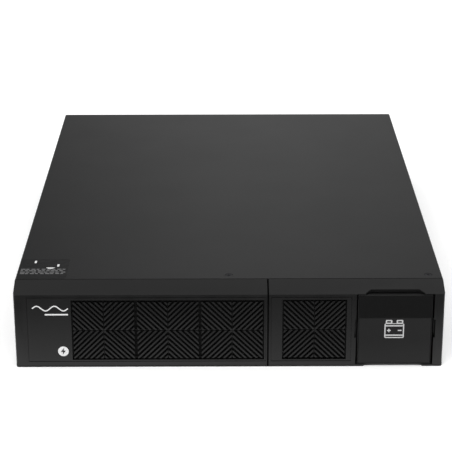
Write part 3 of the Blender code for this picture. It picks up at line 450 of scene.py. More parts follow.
def face_outward(mesh, join=0.0):
    """Turns a closed mesh's faces outward, after joining points that are closer than join."""
    bm = bmesh.new()
    bm.from_mesh(mesh)
    if join:
        bmesh.ops.remove_doubles(bm, verts=bm.verts, dist=join)
    bmesh.ops.recalc_face_normals(bm, faces=bm.faces)
    bm.to_mesh(mesh)
    bm.free()


def finished(bm):
    mesh = bpy.data.meshes.new("piece")
    bm.to_mesh(mesh)
    bm.free()
    return mesh


def merged(*meshes):
    bm = bmesh.new()
    for mesh in meshes:
        bm.from_mesh(mesh)
    return finished(bm)


def rectangle(x, z):
    return [(x[0], z[0]), (x[1], z[0]), (x[1], z[1]), (x[0], z[1])]


def around(centre, size):
    return (centre - size / 2, centre + size / 2)


def rounded(x, z, radius):
    """Rectangle with round corners."""
    left, right, bottom, top = x[0] + radius, x[1] - radius, z[0] + radius, z[1] - radius
    points = []
    for u, v, start in ((right, top, 0), (left, top, 90), (left, bottom, 180), (right, bottom, 270)):
        points += arc((u, v), radius, start, start + 90, 5)
    return points


def arc(centre, radius, start, end, steps):
    turns = [math.radians(start + (end - start) * k / steps) for k in range(steps + 1)]
    return [(centre[0] + radius * math.cos(a), centre[1] + radius * math.sin(a)) for a in turns]


def moved(shapes, x, z, size=1.0):
    """Shapes scaled by size and put at a place."""
    return [[(u * size + x, v * size + z) for u, v in shape] for shape in shapes]


def turned(point, quarters):
    for _ in range(quarters):
        point = (-point[1], point[0])
    return point


SIDES = 48  # points round a turned piece


def hexagon(across):
    """Radius towards each direction of a hexagon that measures this much across its flats."""
    return lambda angle: across / 2 / math.cos((angle + math.pi / 6) % (math.pi / 3) - math.pi / 6)


def cross(arm, half_width):
    """Radius towards each direction of a cross-shaped screw recess."""
    def radius(angle):
        turn = abs((angle + math.pi / 4) % (math.pi / 2) - math.pi / 4)
        return half_width / max(math.sin(turn), half_width / arm * math.cos(turn), 1e-9)
    return radius


def knurled(radius, depth):
    return lambda angle: radius - depth * (round(angle / math.tau * SIDES) % 2)


def ring_point(radius, height, angle):
    reach = radius(angle) if callable(radius) else radius
    return (reach * math.cos(angle), reach * math.sin(angle), height)


def turned_mesh(profile, base, direction):
    """Closed solid of stacked rings. profile lists (radius, height); a radius may be a function."""
    bm = bmesh.new()
    angles = [math.tau * k / SIDES for k in range(SIDES)]
    rings = [[bm.verts.new(ring_point(*step, angle)) for angle in angles] for step in profile]
    for low, high in zip(rings, rings[1:]):
        for k in range(SIDES):
            bm.faces.new((low[k - 1], low[k], high[k], high[k - 1]))
    bm.faces.new(rings[0][::-1])
    bm.faces.new(rings[-1])
    turn = Vector(direction).to_track_quat("Z", "Y").to_matrix().to_4x4()
    bmesh.ops.transform(bm, matrix=Matrix.Translation(base) @ turn, verts=bm.verts)
    return finished(bm)


def turned_piece(name, profile, base, direction, look, body="chassis"):
    show(name, turned_mesh(profile, base, direction), look, body, True)


def screw_head(radius, height):
    """Profile of a pan head with a cross recess."""
    arm = radius * 0.5
    rim = [(0.96, 0), (1, 0.12), (0.99, 0.45), (0.90, 0.8), (0.72, 1)]
    profile = [(radius * across, height * up) for across, up in rim]
    return profile + [(cross(arm, arm * 0.26), height), (cross(arm * 0.8, arm * 0.2), height * 0.4)]


def socket_face(radius, depth, across):
    """Profile of a flush socket screw, from its inner end up to its face and down into the hexagon."""
    profile = [(radius, 0), (radius, depth * 0.94), (radius * 0.94, depth), (across * 0.66, depth)]
    return profile + [(hexagon(across), depth * 0.96), (hexagon(across * 0.96), depth * 0.5)]


def block_mesh(x, y, z, soft):
    """Box with rounded edges."""
    bm = bmesh.new()
    corners = [bm.verts.new((px, py, pz)) for pz in z for py in y for px in x]
    for face in ((0, 2, 3, 1), (4, 5, 7, 6), (0, 1, 5, 4), (2, 6, 7, 3), (0, 4, 6, 2), (1, 3, 7, 5)):
        bm.faces.new([corners[k] for k in face])
    bmesh.ops.bevel(bm, geom=bm.edges, offset=soft, segments=2, profile=0.6, affect="EDGES")
    return finished(bm)


def lead_mesh(points, radius):
    """Round wire along a smooth route that starts and ends at the first and last points."""
    curve = bpy.data.curves.new("route", "CURVE")
    curve.dimensions = "3D"
    curve.bevel_depth = radius / MM
    curve.bevel_resolution = 3
    curve.use_fill_caps = True
    curve.resolution_u = 8
    spline = curve.splines.new("NURBS")
    spline.points.add(len(points) - 1)
    for point, place in zip(spline.points, points):
        point.co = (*[value / MM for value in place], 1)
    spline.order_u = 3
    spline.use_endpoint_u = True
    return mesh_of(curve)


# ---- grilles ----
SLAT_PITCH = 5.7 * MM  # along a cell's centre lines
SLAT_WIDTH = 1.85 * MM
SLAT_ROUND = 0.3 * MM
SLAT_DEPTH = (FRONT + 0.8 * MM, FRONT + 3.6 * MM)
LATTICE_DEPTH = (FRONT + 3.4 * MM, FRONT + 4.3 * MM)
CELL_EDGE = 1.4 * MM
CELL_EXTRA = 0.4 * MM  # how far the lattice's openings go past the slats' ends
CENTRE_GAP = 0.35 * MM  # half the gap between quarters
LATTICE_RIB = 1.1 * MM
FIT = 0.3 * MM


def quarter_slats(reach):
    """Slats of a cell's upper right quarter: one on the diagonal, the others parallel to it on both sides."""
    half = SLAT_WIDTH / math.sqrt(2)
    start = CENTRE_GAP / 3
    shapes = [[(start, start), (start + half, start), (reach, reach - half), (reach, reach),
               (reach - half, reach), (start, start + half)]]
    for n in range(1, int((reach - half) / SLAT_PITCH) + 1):
        low, high = n * SLAT_PITCH - half, n * SLAT_PITCH + half
        if CENTRE_GAP + high < reach:
            strip = [(CENTRE_GAP + low, CENTRE_GAP), (CENTRE_GAP + high, CENTRE_GAP), (reach, reach - high)]
        else:
            strip = [(CENTRE_GAP + low, CENTRE_GAP), (reach, CENTRE_GAP)]
        strip.append((reach, reach - low))
        shapes += [strip, [(v, u) for u, v in reversed(strip)]]
    return shapes


def grille(node, cells, body, drop):
    """Slats that point at each cell's middle, in front of a set-back lattice that joins them. drop is how far
    the cells' middles lie below the opening's."""
    low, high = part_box(node)
    cell = (high.x - low.x + 2 * FIT) / cells
    level = (low.z + high.z) / 2
    reach = cell / 2 - CELL_EDGE
    first = low.x - FIT + cell / 2
    ribs = [first + n * cell for n in range(cells)]
    starts = [low.x + CELL_EDGE - FIT] + [rib + LATTICE_RIB / 2 for rib in ribs]
    ends = [rib - LATTICE_RIB / 2 for rib in ribs] + [high.x - CELL_EDGE + FIT]
    rise = reach + CELL_EXTRA - drop
    lattice = [rectangle((low.x, high.x), around(level, cell - 2 * FIT))]
    for side in (-1, 1):
        z = sorted((level - drop + side * LATTICE_RIB / 2, level + side * rise))
        lattice += [rectangle(x, z) for x in zip(starts, ends)]
    slats = []
    for rib in ribs:
        for quarters in range(4):
            quarter = [[turned(point, quarters) for point in shape] for shape in quarter_slats(reach)]
            slats += moved(quarter, rib, level - drop)
    mesh = flat_mesh(slats, SLAT_DEPTH, round_edge=SLAT_ROUND)
    piece = show(node.replace("grille", "slats"), mesh, "slat_plastic", body, smooth=True)
    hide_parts(node)
    # The lattice gets the darker plastic as painted shade for its set-back place.
    show(node.replace("grille", "lattice"), flat_mesh(lattice, LATTICE_DEPTH), "lattice_plastic", body)


def front_seal():
    """Foam strip between the two bezels, fixed to the left one."""
    x = (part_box("left_bezel")[1].x + 0.1 * MM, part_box("right_bezel")[0].x - 0.1 * MM)
    side = [(2.5, 0.8), (20.6, 0.8), (20.6, 84.4), (2.5, 77.6)]  # behind the face and above the floor
    shape = [(FRONT + behind * MM, z * MM) for behind, z in side]
    show("front_seal", flat_mesh([shape], x, "side"), "foam", "left_front")


# ---- printed marks ----
FRONT_FACE, REAR_FACE, TOP_FACE = ("front", -1), ("front", 1), ("top", 1)
MARK_SPAN = (18.9 * MM, 55.2 * MM)  # from the left bezel's outer end
WAVE_LEVEL = 64.8 * MM
WAVE_HEIGHT = 2.6 * MM
WAVE_STROKE = 1.15 * MM
WAVE_STEPS = 40
BAR_START = 12.5 * MM  # from the wave's left end
BAR_SPAN = (57.3 * MM, 58.8 * MM)
DISC_PLACE = (49 * MM, 17 * MM)
BATTERY_MARK_SHIFT = (-0.6 * MM, 0.85 * MM)  # from the cover's middle
LABEL_LEFT = 3.2 * MM  # where the film's rows start
LABEL_ROW = 48.5 * MM  # length of a full row
LABEL_PITCH = 3.9 * MM


def printed(name, shapes, at, facing, look, body="chassis"):
    """Thin ink on a surface: at is the surface's coordinate, and facing its plane and the way it faces."""
    plane, outward = facing
    show(name, flat_mesh(shapes, sorted((at - outward * INK, at + outward * INK)), plane), look, body)


def sticker(name, x, y, radius, span, plane, look, body="chassis"):
    """Film with round corners."""
    show(name, flat_mesh([rounded(x, y, radius)], span, plane), look, body)


def plus_shape(arm, thick):
    """Outline of a plus sign; arm is half its length and thick half the width of its strokes."""
    quarter = [(arm, -thick), (arm, thick), (thick, thick)]
    return [turned(point, k) for k in range(4) for point in quarter]


def battery_symbol():
    """Drawing of a battery with two terminals, a plus and a minus, in millimetres."""
    body = rounded((-10.0, 10.0), (-10.1, 6.3), 1.6)
    inner = (-8.85, 8.85)
    shapes = [body] + [rectangle(inner, z) for z in ((-9.0, -7.65), (-6.25, 2.85), (4.2, 5.55))]
    for side in (-1, 1):
        shapes.append(rounded(sorted((side * 2.2, side * 8.9)), (6.32, 10.0), 0.8))
        shapes.append(rectangle(sorted((side * 3.6, side * 7.5)), (6.95, 8.8)))
    shapes += moved([plus_shape(1.85, 0.6)], -5.5, -1.65)
    shapes.append(rectangle((3.7, 7.5), around(-1.65, 1.25)))
    return shapes


def earth_symbol():
    """A stem over three shorter and shorter bars, in millimetres."""
    shapes = [rectangle(around(0, 0.6), (0.35, 3.6))]
    for length, z in ((5.2, 0), (3.4, -1.3), (1.6, -2.6)):
        shapes.append(rectangle(around(0, length), around(z, 0.6)))
    return shapes


def wave_stroke(span, level, height, thick, cycles):
    """Closed outline of a stroke that follows a sine wave along a level line."""
    upper, lower = [], []
    length = span[1] - span[0]
    for k in range(WAVE_STEPS + 1):
        phase = math.tau * cycles * k / WAVE_STEPS
        slope = height * math.cos(phase) * math.tau * cycles / length
        across = thick / 2 / math.hypot(1, slope)
        x, z = span[0] + length * k / WAVE_STEPS, level + height * math.sin(phase)
        upper.append((x - slope * across, z + across))
        lower.append((x + slope * across, z - across))
    return upper + lower[::-1]


def front_marks():
    """Generic marks: a wave over a bar, a bolt in a disc, and the battery symbol on the square cover."""
    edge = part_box("left_bezel")[0].x
    left, right = edge + MARK_SPAN[0], edge + MARK_SPAN[1]
    wave = wave_stroke((left, right), WAVE_LEVEL, WAVE_HEIGHT, WAVE_STROKE, 2)
    bar = rounded((left + BAR_START, right), BAR_SPAN, 0.7 * MM)
    printed("maker_mark", [wave, bar], FRONT, FRONT_FACE, "white_ink", "left_front")
    disc = arc((0, 0), 5.45, 0, 348, 29)
    bolt = [(0.9, 4.0), (-2.7, -0.7), (-0.3, -0.7), (-1.0, -4.0), (2.7, 0.9), (0.4, 0.9)]
    shapes = moved([disc, bolt], edge + DISC_PLACE[0], DISC_PLACE[1], MM)
    printed("disc_mark", shapes, FRONT, FRONT_FACE, "white_ink", "left_front")
    centre, (aside, up) = middle("cover_plate"), BATTERY_MARK_SHIFT
    shapes = moved(battery_symbol(), centre.x + aside, centre.z + up, MM)
    printed("battery_mark", shapes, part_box("cover_plate")[0].y, FRONT_FACE, "pale_ink", "square_cover")


def small_print(start, full, first, pitch, rows, thick):
    """Rows of short strokes of uneven length, which stand for lines of small print. rows lists each row's
    share of the full length and its number of strokes."""
    shapes = []
    for n, (share, pieces) in enumerate(rows):
        step = share * full / pieces
        for k in range(pieces):
            x, length = start + k * step, step * (0.55 + 0.4 * ((k * 7 + pieces) % 5) / 5)
            shapes.append(rectangle((x, x + length), around(first + n * pitch, thick)))
    return shapes


def top_label():
    """Dark film on the left front corner of the top, with rows of plain strokes."""
    edge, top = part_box("top_cover")[0].x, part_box("top_cover")[1].z
    film_top = top + 0.06 * MM
    x, y = (edge + 1.4 * MM, edge + 52 * MM), (FRONT + 23.2 * MM, FRONT + 77 * MM)
    sticker("label_film", x, y, 2.5 * MM, (top - 0.04 * MM, film_top), "top", "label_film")
    rows = [(0.97, 9), (1.0, 8), (0.92, 10), (1.0, 9)]
    shapes = small_print(edge + LABEL_LEFT, LABEL_ROW, FRONT + 37 * MM, LABEL_PITCH, rows, 1.9 * MM)
    printed("label_rows", shapes, film_top, TOP_FACE, "grey_ink")
    places = ((16.5, 68.8), (41.0, 59.1))
    shapes = [rounded(around(across, 2.3), around(behind, 6.6), 1.1) for across, behind in places]
    shapes.append([(28.6, 53.4), (31.5, 50.2), (35.4, 50.2), (38.4, 53.4)])
    printed("label_dashes", moved(shapes, edge, FRONT, MM), film_top, TOP_FACE, "white_ink")


# ---- rear panel ----
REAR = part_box("rear_panel")[1].y
REAR_SCREWS = [(x, 0.0800) for x in (-0.205, -0.068, 0.045, 0.150, 0.2085)]
REAR_SCREWS += [(x, 0.0065) for x in (-0.150, -0.030, 0.105)]
REAR_SCREWS += [(-0.2115, 0.022), (-0.2115, 0.060), (0.2115, 0.028), (0.2115, 0.064)]
CONNECTORS = ("output_connector", "link_connector")
FLANGE_INSET = 3.3 * MM  # of its screws, from the connector's ends
FLANGE_DEPTH = 7.2 * MM  # behind the connector's mouth
POLE_OFFSET = 8.5 * MM  # from a connector's middle
TONGUE_WIDTH = 8.5 * MM
JACK_OFFSET = 7.2 * MM
JACK_PITCH = 1.02 * MM
SWITCH_MARK_RISE = 20.5 * MM  # from the breaker's middle
EAR_SCREWS = [(ahead, z) for ahead in (0.014, 0.046) for z in (0.020, 0.056)]  # from the tray's front edge
RAIL_SCREWS = [(y, 0.038) for y in (-0.120, 0.040, 0.200)]
SIDE_HOLE = 2.08 * MM  # radius
SIDE_SINK = 3.5 * MM  # how far inside the wall these fasteners start


def rear_screws():
    """Pan-head screws round the rear panel, and two that hold each DC connector's flange."""
    for n, (x, z) in enumerate(REAR_SCREWS, 1):
        head = screw_head(2.7 * MM, 1.7 * MM)
        turned_piece(f"rear_screw_{n}", head, (x, REAR, z), BACKWARD, "black_steel")
    for name in CONNECTORS:
        low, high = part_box(name)
        for end, x in (("a", low.x + FLANGE_INSET), ("b", high.x - FLANGE_INSET)):
            place = (x, high.y - FLANGE_DEPTH, middle(name).z)
            head = screw_head(2.1 * MM, 1.3 * MM)
            turned_piece(f"{name}_screw_{end}", head, place, BACKWARD, "bright_steel")


def connector_contacts():
    """Silver-plated tongue in each mouth of the DC connectors, and a plus and a minus over them."""
    foot = REAR - 8.1 * MM
    for name in CONNECTORS:
        high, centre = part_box(name)[1], middle(name)
        for word, side in (("positive", -1), ("negative", 1)):
            x = around(centre.x + side * POLE_OFFSET, TONGUE_WIDTH)
            tongue = block_mesh(x, (foot, high.y - 2 * MM), around(centre.z, 2.4 * MM), 0.6 * MM)
            slope = (centre.z - 5.6 * MM, centre.z - 3.4 * MM)
            ramp = block_mesh(x, (foot, REAR - 1 * MM), slope, 0.5 * MM)
            show(f"{name}_{word}", merged(tongue, ramp), "tin", "chassis", True)
        level = high.z + 4.5 * MM
        signs = moved([plus_shape(2.2, 0.5)], centre.x - POLE_OFFSET, level, MM)
        signs += moved([rectangle((-2.2, 2.2), (-0.5, 0.5))], centre.x + POLE_OFFSET, level, MM)
        printed(f"{name}_signs", signs, REAR, REAR_FACE, "white_ink")


def jack_contacts():
    """Eight sprung wires in each signal jack, aslant from the roof at the mouth to the floor inside."""
    mouth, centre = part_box("signal_jacks")[1].y, middle("signal_jacks")
    bends = [(13.5, 3.0), (3.5, 3.4), (2.8, 2.2), (9.5, -1.2), (13.5, -1.8)]  # inward and up, in millimetres
    for n, side in enumerate((-1, 1), 1):
        wires = []
        for k in range(8):
            x = centre.x + side * JACK_OFFSET + (k - 3.5) * JACK_PITCH
            route = [(x, mouth - inward * MM, centre.z + up * MM) for inward, up in bends]
            wires.append(lead_mesh(route, 0.19 * MM))
        show(f"jack_contacts_{n}", merged(*wires), "brass", "chassis", True)


def breaker_marks():
    """On stroke above the breaker's lever and off ring below it."""
    centre = middle("dc_breaker")
    ring = [arc((0, 0), radius, 0, 345, 23) for radius in (1.9, 1.2)]
    shapes = moved([rectangle((-0.4, 0.4), (-1.9, 1.9))], centre.x, centre.z + SWITCH_MARK_RISE, MM)
    shapes += moved(ring, centre.x, centre.z - SWITCH_MARK_RISE, MM)
    printed("breaker_marks", shapes, REAR, REAR_FACE, "white_ink")


def thread_profile(start, pitch, turns, root, crest):
    """Ridges of a screw thread along a stud."""
    profile = [(root, start)]
    for k in range(turns):
        profile += [(crest, start + (k + 0.5) * pitch), (root, start + (k + 1) * pitch)]
    return profile


def ground_detail():
    """Threaded earth stud with washer, toothed washer and hexagon nut, in place of the frame's plain one."""
    low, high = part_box("ground_stud")
    centre = middle("ground_stud")
    thread = thread_profile(low.y - REAR, 0.8 * MM, 21, 2.1 * MM, 2.4 * MM) + [(1.4 * MM, high.y - REAR)]
    washer = [(0.0056, 0.0003), (0.0060, 0.0005), (0.0060, 0.0011), (0.0057, 0.0013)]
    teeth = [(knurled(0.0052, 0.0006), height) for height in (0.0012, 0.0018)]
    flats = hexagon(0.0080)
    nut = [(0.0038, 0.0018), (flats, 0.0022), (flats, 0.0048), (0.0038, 0.0052)]
    back = [(flats, -0.0044), (flats, -0.0016)]
    foot = (centre.x, REAR, centre.z)
    parts = [turned_mesh(profile, foot, BACKWARD) for profile in (thread, washer, teeth, nut, back)]
    piece = show("ground_stud_detail", merged(*parts), "bright_steel", "chassis", True)
    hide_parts("ground_stud")
    sign = moved(earth_symbol(), centre.x - 12 * MM, centre.z, MM)
    printed("earth_mark", sign, REAR, REAR_FACE, "white_ink")


def rating_label():
    """Silver film under the signal jacks, with plain strokes and a battery symbol."""
    x, z = (-0.012, 0.052), (0.0105, 0.0305)
    top = REAR + 0.06 * MM
    sticker("rating_label", x, z, 1.5 * MM, (REAR - 0.04 * MM, top), "front", "silver_film")
    rows = [(0.55, 3), (0.9, 8), (0.8, 7), (0.95, 8), (0.6, 5)]
    shapes = small_print(x[0] + 2 * MM, 44 * MM, z[1] - 3 * MM, -3.5 * MM, rows, 1.2 * MM)
    shapes += moved(battery_symbol(), x[1] - 8.5 * MM, sum(z) / 2, 0.55 * MM)
    printed("rating_rows", shapes, top, REAR_FACE, "dark_ink")


def side_fasteners():
    """Threaded inserts for the rack ears and flush socket screws for the rails, on both sides."""
    low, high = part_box("base_tray")
    insert = [(SIDE_HOLE, 0), (SIDE_HOLE, 0.0031), (SIDE_HOLE * 0.96, 0.0033)]
    insert += [(0.0016, 0.0033), (0.00145, 0.0030), (0.00145, 0.0005)]
    screw = socket_face(SIDE_HOLE, 3.3 * MM, 2.2 * MM)
    for side, base, out in (("left", low.x + SIDE_SINK, LEFT), ("right", high.x - SIDE_SINK, RIGHT)):
        for n, (ahead, z) in enumerate(EAR_SCREWS, 1):
            turned_piece(f"{side}_ear_insert_{n}", insert, (base, low.y + ahead, z), out, "bright_steel")
        for n, (y, z) in enumerate(RAIL_SCREWS, 1):
            turned_piece(f"{side}_rail_screw_{n}", screw, (base, y, z), out, "black_steel")


# ---- behind the bezels ----
FILTER_SPANS = (("left", (-0.1625, 0.0362)), ("right", (0.0547, 0.1215)))
FILTER_DEPTH = (FRONT + 4.5 * MM, FRONT + 5.8 * MM)
THUMB_HEAD = 6 * MM  # length of its head
RIVET_INSET = 4.8 * MM
STITCH_INSET = 9 * MM
STITCHES = 6
PLATE_MARKS = (("left", -0.147, (-0.036, 0.008), 0.041), ("right", 0.103, (0.055, 0.093), 0.0665))


def dust_filters():
    """Black foam behind each grille."""
    for side, x in FILTER_SPANS:
        sheet = flat_mesh([rounded(x, (0.0073, 0.0747), 2 * MM)], FILTER_DEPTH, round_edge=0.3 * MM)
        show(f"{side}_dust_filter", sheet, "foam", f"{side}_front", True)


def thumbscrews():
    """Knurled, slotted heads on plain shanks, in place of the frame's."""
    for name in [f"{side}_thumbscrew_{n}" for side in ("left", "right") for n in (1, 2)]:
        low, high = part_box(name)
        radius, centre, end = (high.x - low.x) / 2, middle(name), high.y - low.y
        grip = knurled(radius, 0.22 * MM)
        profile = [(0.0010, end), (0.0016, end - 0.0006), (0.0016, THUMB_HEAD), (radius * 0.8, THUMB_HEAD)]
        profile += [(grip, THUMB_HEAD - 0.3 * MM), (grip, 0.7 * MM), (radius * 0.86, 0)]
        profile += [(cross(0.0021, 0.0005), 0), (cross(0.0018, 0.0004), 0.0014)]
        mesh = turned_mesh(profile, (centre.x, low.y, centre.z), BACKWARD)
        face_outward(mesh)
        piece = show(f"{name}_detail", mesh, "bright_steel", f"{name.split('_')[0]}_drawer", True)
        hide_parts(name)


def strap_fittings():
    """Rivets and stitches at the feet of each webbing handle."""
    dome = [(0.0030, 0), (0.0030, 0.0003), (0.0026, 0.0008), (0.0015, 0.0011), (0.0004, 0.0012)]
    for side in ("left", "right"):
        low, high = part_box(f"{side}_pull_strap")
        foot, body = high.y - 1.5 * MM, f"{side}_drawer"
        first, last = low.z + 2.4 * MM, high.z - 2.4 * MM
        stitches = []
        for word, end, inward in (("a", low.x, 1), ("b", high.x, -1)):
            place = (end + inward * RIVET_INSET, foot, (low.z + high.z) / 2)
            turned_piece(f"{side}_strap_rivet_{word}", dome, place, FORWARD, "bright_steel", body)
            x, y = around(end + inward * STITCH_INSET, 0.5 * MM), around(foot, 0.6 * MM)
            for k in range(STITCHES):
                z = around(first + k * (last - first) / (STITCHES - 1), 1.9 * MM)
                stitches.append(block_mesh(x, y, z, 0.1 * MM))
        show(f"{side}_strap_stitches", merged(*stitches), "thread", body, True)


def drawer_labels():
    """Pull arrow and a small printed label on each drawer's front plate."""
    arrow = [(0, -5), (4.6, 0.4), (1.8, 0.4), (1.8, 5), (-1.8, 5), (-1.8, 0.4), (-4.6, 0.4)]
    for side, arrow_x, x, z in PLATE_MARKS:
        face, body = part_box(f"{side}_tray")[0].y, f"{side}_drawer"
        label_face = face - 0.08 * MM
        printed(f"{side}_pull_arrow", moved([arrow], arrow_x, z, MM), face, FRONT_FACE, "green_ink", body)
        span = (label_face, face + 0.04 * MM)
        sticker(f"{side}_plate_label", x, around(z, 13 * MM), 1 * MM, span, "front", "battery_film", body)
        rows = [(0.9, 6), (0.75, 6), (0.6, 6)]
        full, pitch = x[1] - x[0] - 4 * MM, 3.8 * MM
        shapes = small_print(x[0] + 2 * MM, full, z + pitch, -pitch, rows, 1.3 * MM)
        printed(f"{side}_plate_rows", shapes, label_face, FRONT_FACE, "dark_ink", body)


# ---- batteries and their leads ----
BLOCK_HEIGHT = 94 * MM
TERMINAL_INSET = 13 * MM  # from the ends of the block
TERMINAL_RISE = 14.5 * MM  # from its lower side
LEAD = 1.6 * MM  # radius
THIN_LEAD = 1.5 * MM
BOOT_LENGTH = 11 * MM
BOSS = 1.8 * MM
PIN_OFFSET = 11 * MM  # of a plug's two pins, from its middle
RIGHT_PIN_OFFSET = 19.5 * MM
BESIDE_PLUG = 0.0805  # where the right drawer's leads turn down
LABEL_ENDS = 20 * MM  # of a battery's label, from its block's ends
LABEL_SIDES = 12 * MM


def facing_way(number):
    """The way a battery's terminals face."""
    return Vector(RIGHT if number <= 3 else LEFT if number <= 6 else FORWARD)


def on_block(number, height, inset):
    """The two places, in plan, that lie this far above a block's base and this far in from its ends."""
    low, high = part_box(f"battery_{number}")
    way = facing_way(number)
    if way.x:
        x = low.x + height if way.x > 0 else high.x - height
        return [(x, y) for y in (low.y + inset, high.y - inset)]
    return [(x, high.y - height) for x in (low.x + inset, high.x - inset)]


def terminals(number):
    """Feet of a battery's two terminals on its lid, the one with the lower coordinate first."""
    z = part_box(f"battery_{number}")[0].z + TERMINAL_RISE
    return [Vector((*place, z)) for place in on_block(number, BLOCK_HEIGHT, TERMINAL_INSET)]


def boot_mesh(foot, way):
    """Insulating boot over a terminal tab, with a collar where the wire leaves it."""
    if way.x:
        start = foot.x + way.x * BOSS
        x = sorted((start, start + way.x * BOOT_LENGTH))
        y, z = around(foot.y, 5.2 * MM), around(foot.z, 8.6 * MM)
        place = (start + way.x * BOOT_LENGTH * 0.9, foot.y, foot.z)
        ring = turned_mesh([(0.0021, 0), (0.0021, 0.0022), (0.0018, 0.0026)], place, way)
    else:
        x, z = around(foot.x, 7.2 * MM), around(foot.z, 9.2 * MM)
        y = (foot.y - 6.6 * MM, foot.y - 1.6 * MM)
        place = (foot.x, sum(y) / 2, foot.z + 4 * MM)
        ring = turned_mesh([(0.0019, 0), (0.0019, 0.0020), (0.0016, 0.0024)], place, UP)
    return merged(block_mesh(x, y, z, 0.9 * MM), ring)


def battery_details():
    """Label on the upper side of each block, and red and black boots on its terminals."""
    for number in range(1, 10):
        upper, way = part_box(f"battery_{number}")[1].z, facing_way(number)
        body = "left_drawer" if number <= 6 else "right_drawer"
        first = on_block(number, LABEL_ENDS, LABEL_SIDES)[0]
        last = on_block(number, BLOCK_HEIGHT - LABEL_ENDS, LABEL_SIDES)[1]
        x, y = sorted((first[0], last[0])), sorted((first[1], last[1]))
        top = upper + 0.08 * MM
        span = (upper - 0.05 * MM, top)
        sticker(f"battery_{number}_label", x, y, 2 * MM, span, "top", "battery_film", body)
        bars = label_print(x, y, bool(way.x))
        printed(f"battery_{number}_rows", bars[1:], top, TOP_FACE, "dark_ink", body)
        printed(f"battery_{number}_band", bars[:1], top, TOP_FACE, "green_ink", body)
        for k, foot in enumerate(terminals(number)):
            word, look = (("negative", "black_boot"), ("positive", "red_boot"))[(k + (number > 6)) % 2]
            show(f"battery_{number}_{word}_boot", boot_mesh(foot, way), look, body, True)


def label_print(x, y, upright):
    """A colour band at one end of the label, then rows of strokes; upright turns them to run along Y."""
    along, across = (y, x) if upright else (x, y)
    edge, start = 3 * MM, along[0] + 22 * MM
    full, first, last = along[1] - start - 6 * MM, across[1] - 8 * MM, across[0] + 8 * MM
    pitch = (last - first) / 4
    shapes = [rectangle((along[0] + edge, along[0] + 16 * MM), (across[0] + edge, across[1] - edge))]
    shapes += small_print(start, full, first, pitch, [(0.55, 4)], 3 * MM)
    rows = [(0.9, 5), (0.8, 6), (0.95, 7), (0.7, 8)]
    shapes += small_print(start, full, first + pitch, pitch, rows, 1.8 * MM)
    return [[(v, u) for u, v in shape] for shape in shapes] if upright else shapes


def lead(name, route, radius, look, body):
    show(name, lead_mesh(route, radius), look, body, True)


def left_leads():
    """Jumpers between the blocks of each column, and the four ends of the two strings to the plug."""
    plug, mouth = middle("left_plug"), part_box("left_plug")[0].y + 1 * MM
    for column, first, turn in (("a", 1, 1), ("b", 4, -1)):
        feet = [foot for number in range(first, first + 3) for foot in terminals(number)]
        x, z = feet[0].x + turn * (BOSS + BOOT_LENGTH + 1 * MM), feet[0].z
        for n in (1, 3):
            y0, y1 = feet[n].y, feet[n + 1].y
            bends = [(0, y0), (0.004, y0), (0.0045, y0 + 0.006), (0.0045, y1 - 0.006), (0.004, y1), (0, y1)]
            route = [(x + turn * out, y, z) for out, y in bends]
            lead(f"left_jumper_{column}_{(n + 1) // 2}", route, LEAD, "black_cable", "left_drawer")
        y = feet[0].y
        run, pin, over = plug.x - turn * 0.0030, plug.x + PIN_OFFSET - turn * 0.0018, z + 0.012
        route = [(x, y, z), (x + turn * 0.0035, y, z), (run, y + 0.004, z + 0.004), (run, y + 0.018, over),
                 (run, -0.10, over), (run, 0.04, over), (run, 0.140, over),
                 (pin, 0.168, plug.z), (pin, 0.184, plug.z), (pin, mouth, plug.z)]
        lead(f"left_negative_{column}", route, LEAD, "black_cable", "left_drawer")
        y, pin = feet[5].y, plug.x - PIN_OFFSET - turn * 0.0018
        route = [(x, y, z), (x + turn * 0.0035, y, z), (x + turn * 0.001, y + 0.007, z),
                 (pin, y + 0.010, z + 0.006), (pin, y + 0.011, plug.z), (pin, mouth, plug.z)]
        lead(f"left_positive_{column}", route, LEAD, "red_cable", "left_drawer")


def right_leads():
    """Jumpers over the blocks of the right drawer, and the two ends of the string to the plug."""
    plug, over = middle("right_plug"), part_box("right_hold_down")[1].z + 2 * MM
    tops = []
    for number in (7, 8, 9):
        tops.append([Vector((foot.x, foot.y - 0.0041, foot.z + 0.0055)) for foot in terminals(number)])
    rises = [[[top, (top.x, top.y, over - 0.010), (top.x, top.y, over)] for top in pair] for pair in tops]
    for n in (0, 1):
        start, end = tops[n][1], tops[n + 1][0]
        bridge = [(start.x - 0.006, start.y + 0.012, over), (end.x + 0.006, end.y - 0.012, over)]
        route = rises[n][1] + bridge + rises[n + 1][0][::-1]
        lead(f"right_jumper_{n + 1}", route, THIN_LEAD, "black_cable", "right_drawer")
    z = plug.z
    ends = (("right_positive", "red_cable", 0, 0, 0.0600, 1, (-0.10, 0.0)),
            ("right_negative", "black_cable", 2, 1, 0.1960, -1, ()))
    for name, look, block, terminal, run, turn, stops in ends:
        start, pin = tops[block][terminal], plug.x - turn * RIGHT_PIN_OFFSET
        route = rises[block][terminal] + [(run, start.y + 0.014, over)]
        route += [(run, y, over) for y in (*stops, 0.066, BESIDE_PLUG)]
        route += [(run + turn * 0.004, BESIDE_PLUG, over - 0.012),
                  (pin - turn * 0.014, BESIDE_PLUG, z + 0.006), (pin - turn * 0.008, BESIDE_PLUG + 0.001, z),
                  (pin, BESIDE_PLUG + 0.0025, z)]
        lead(name, route, THIN_LEAD, look, "right_drawer")


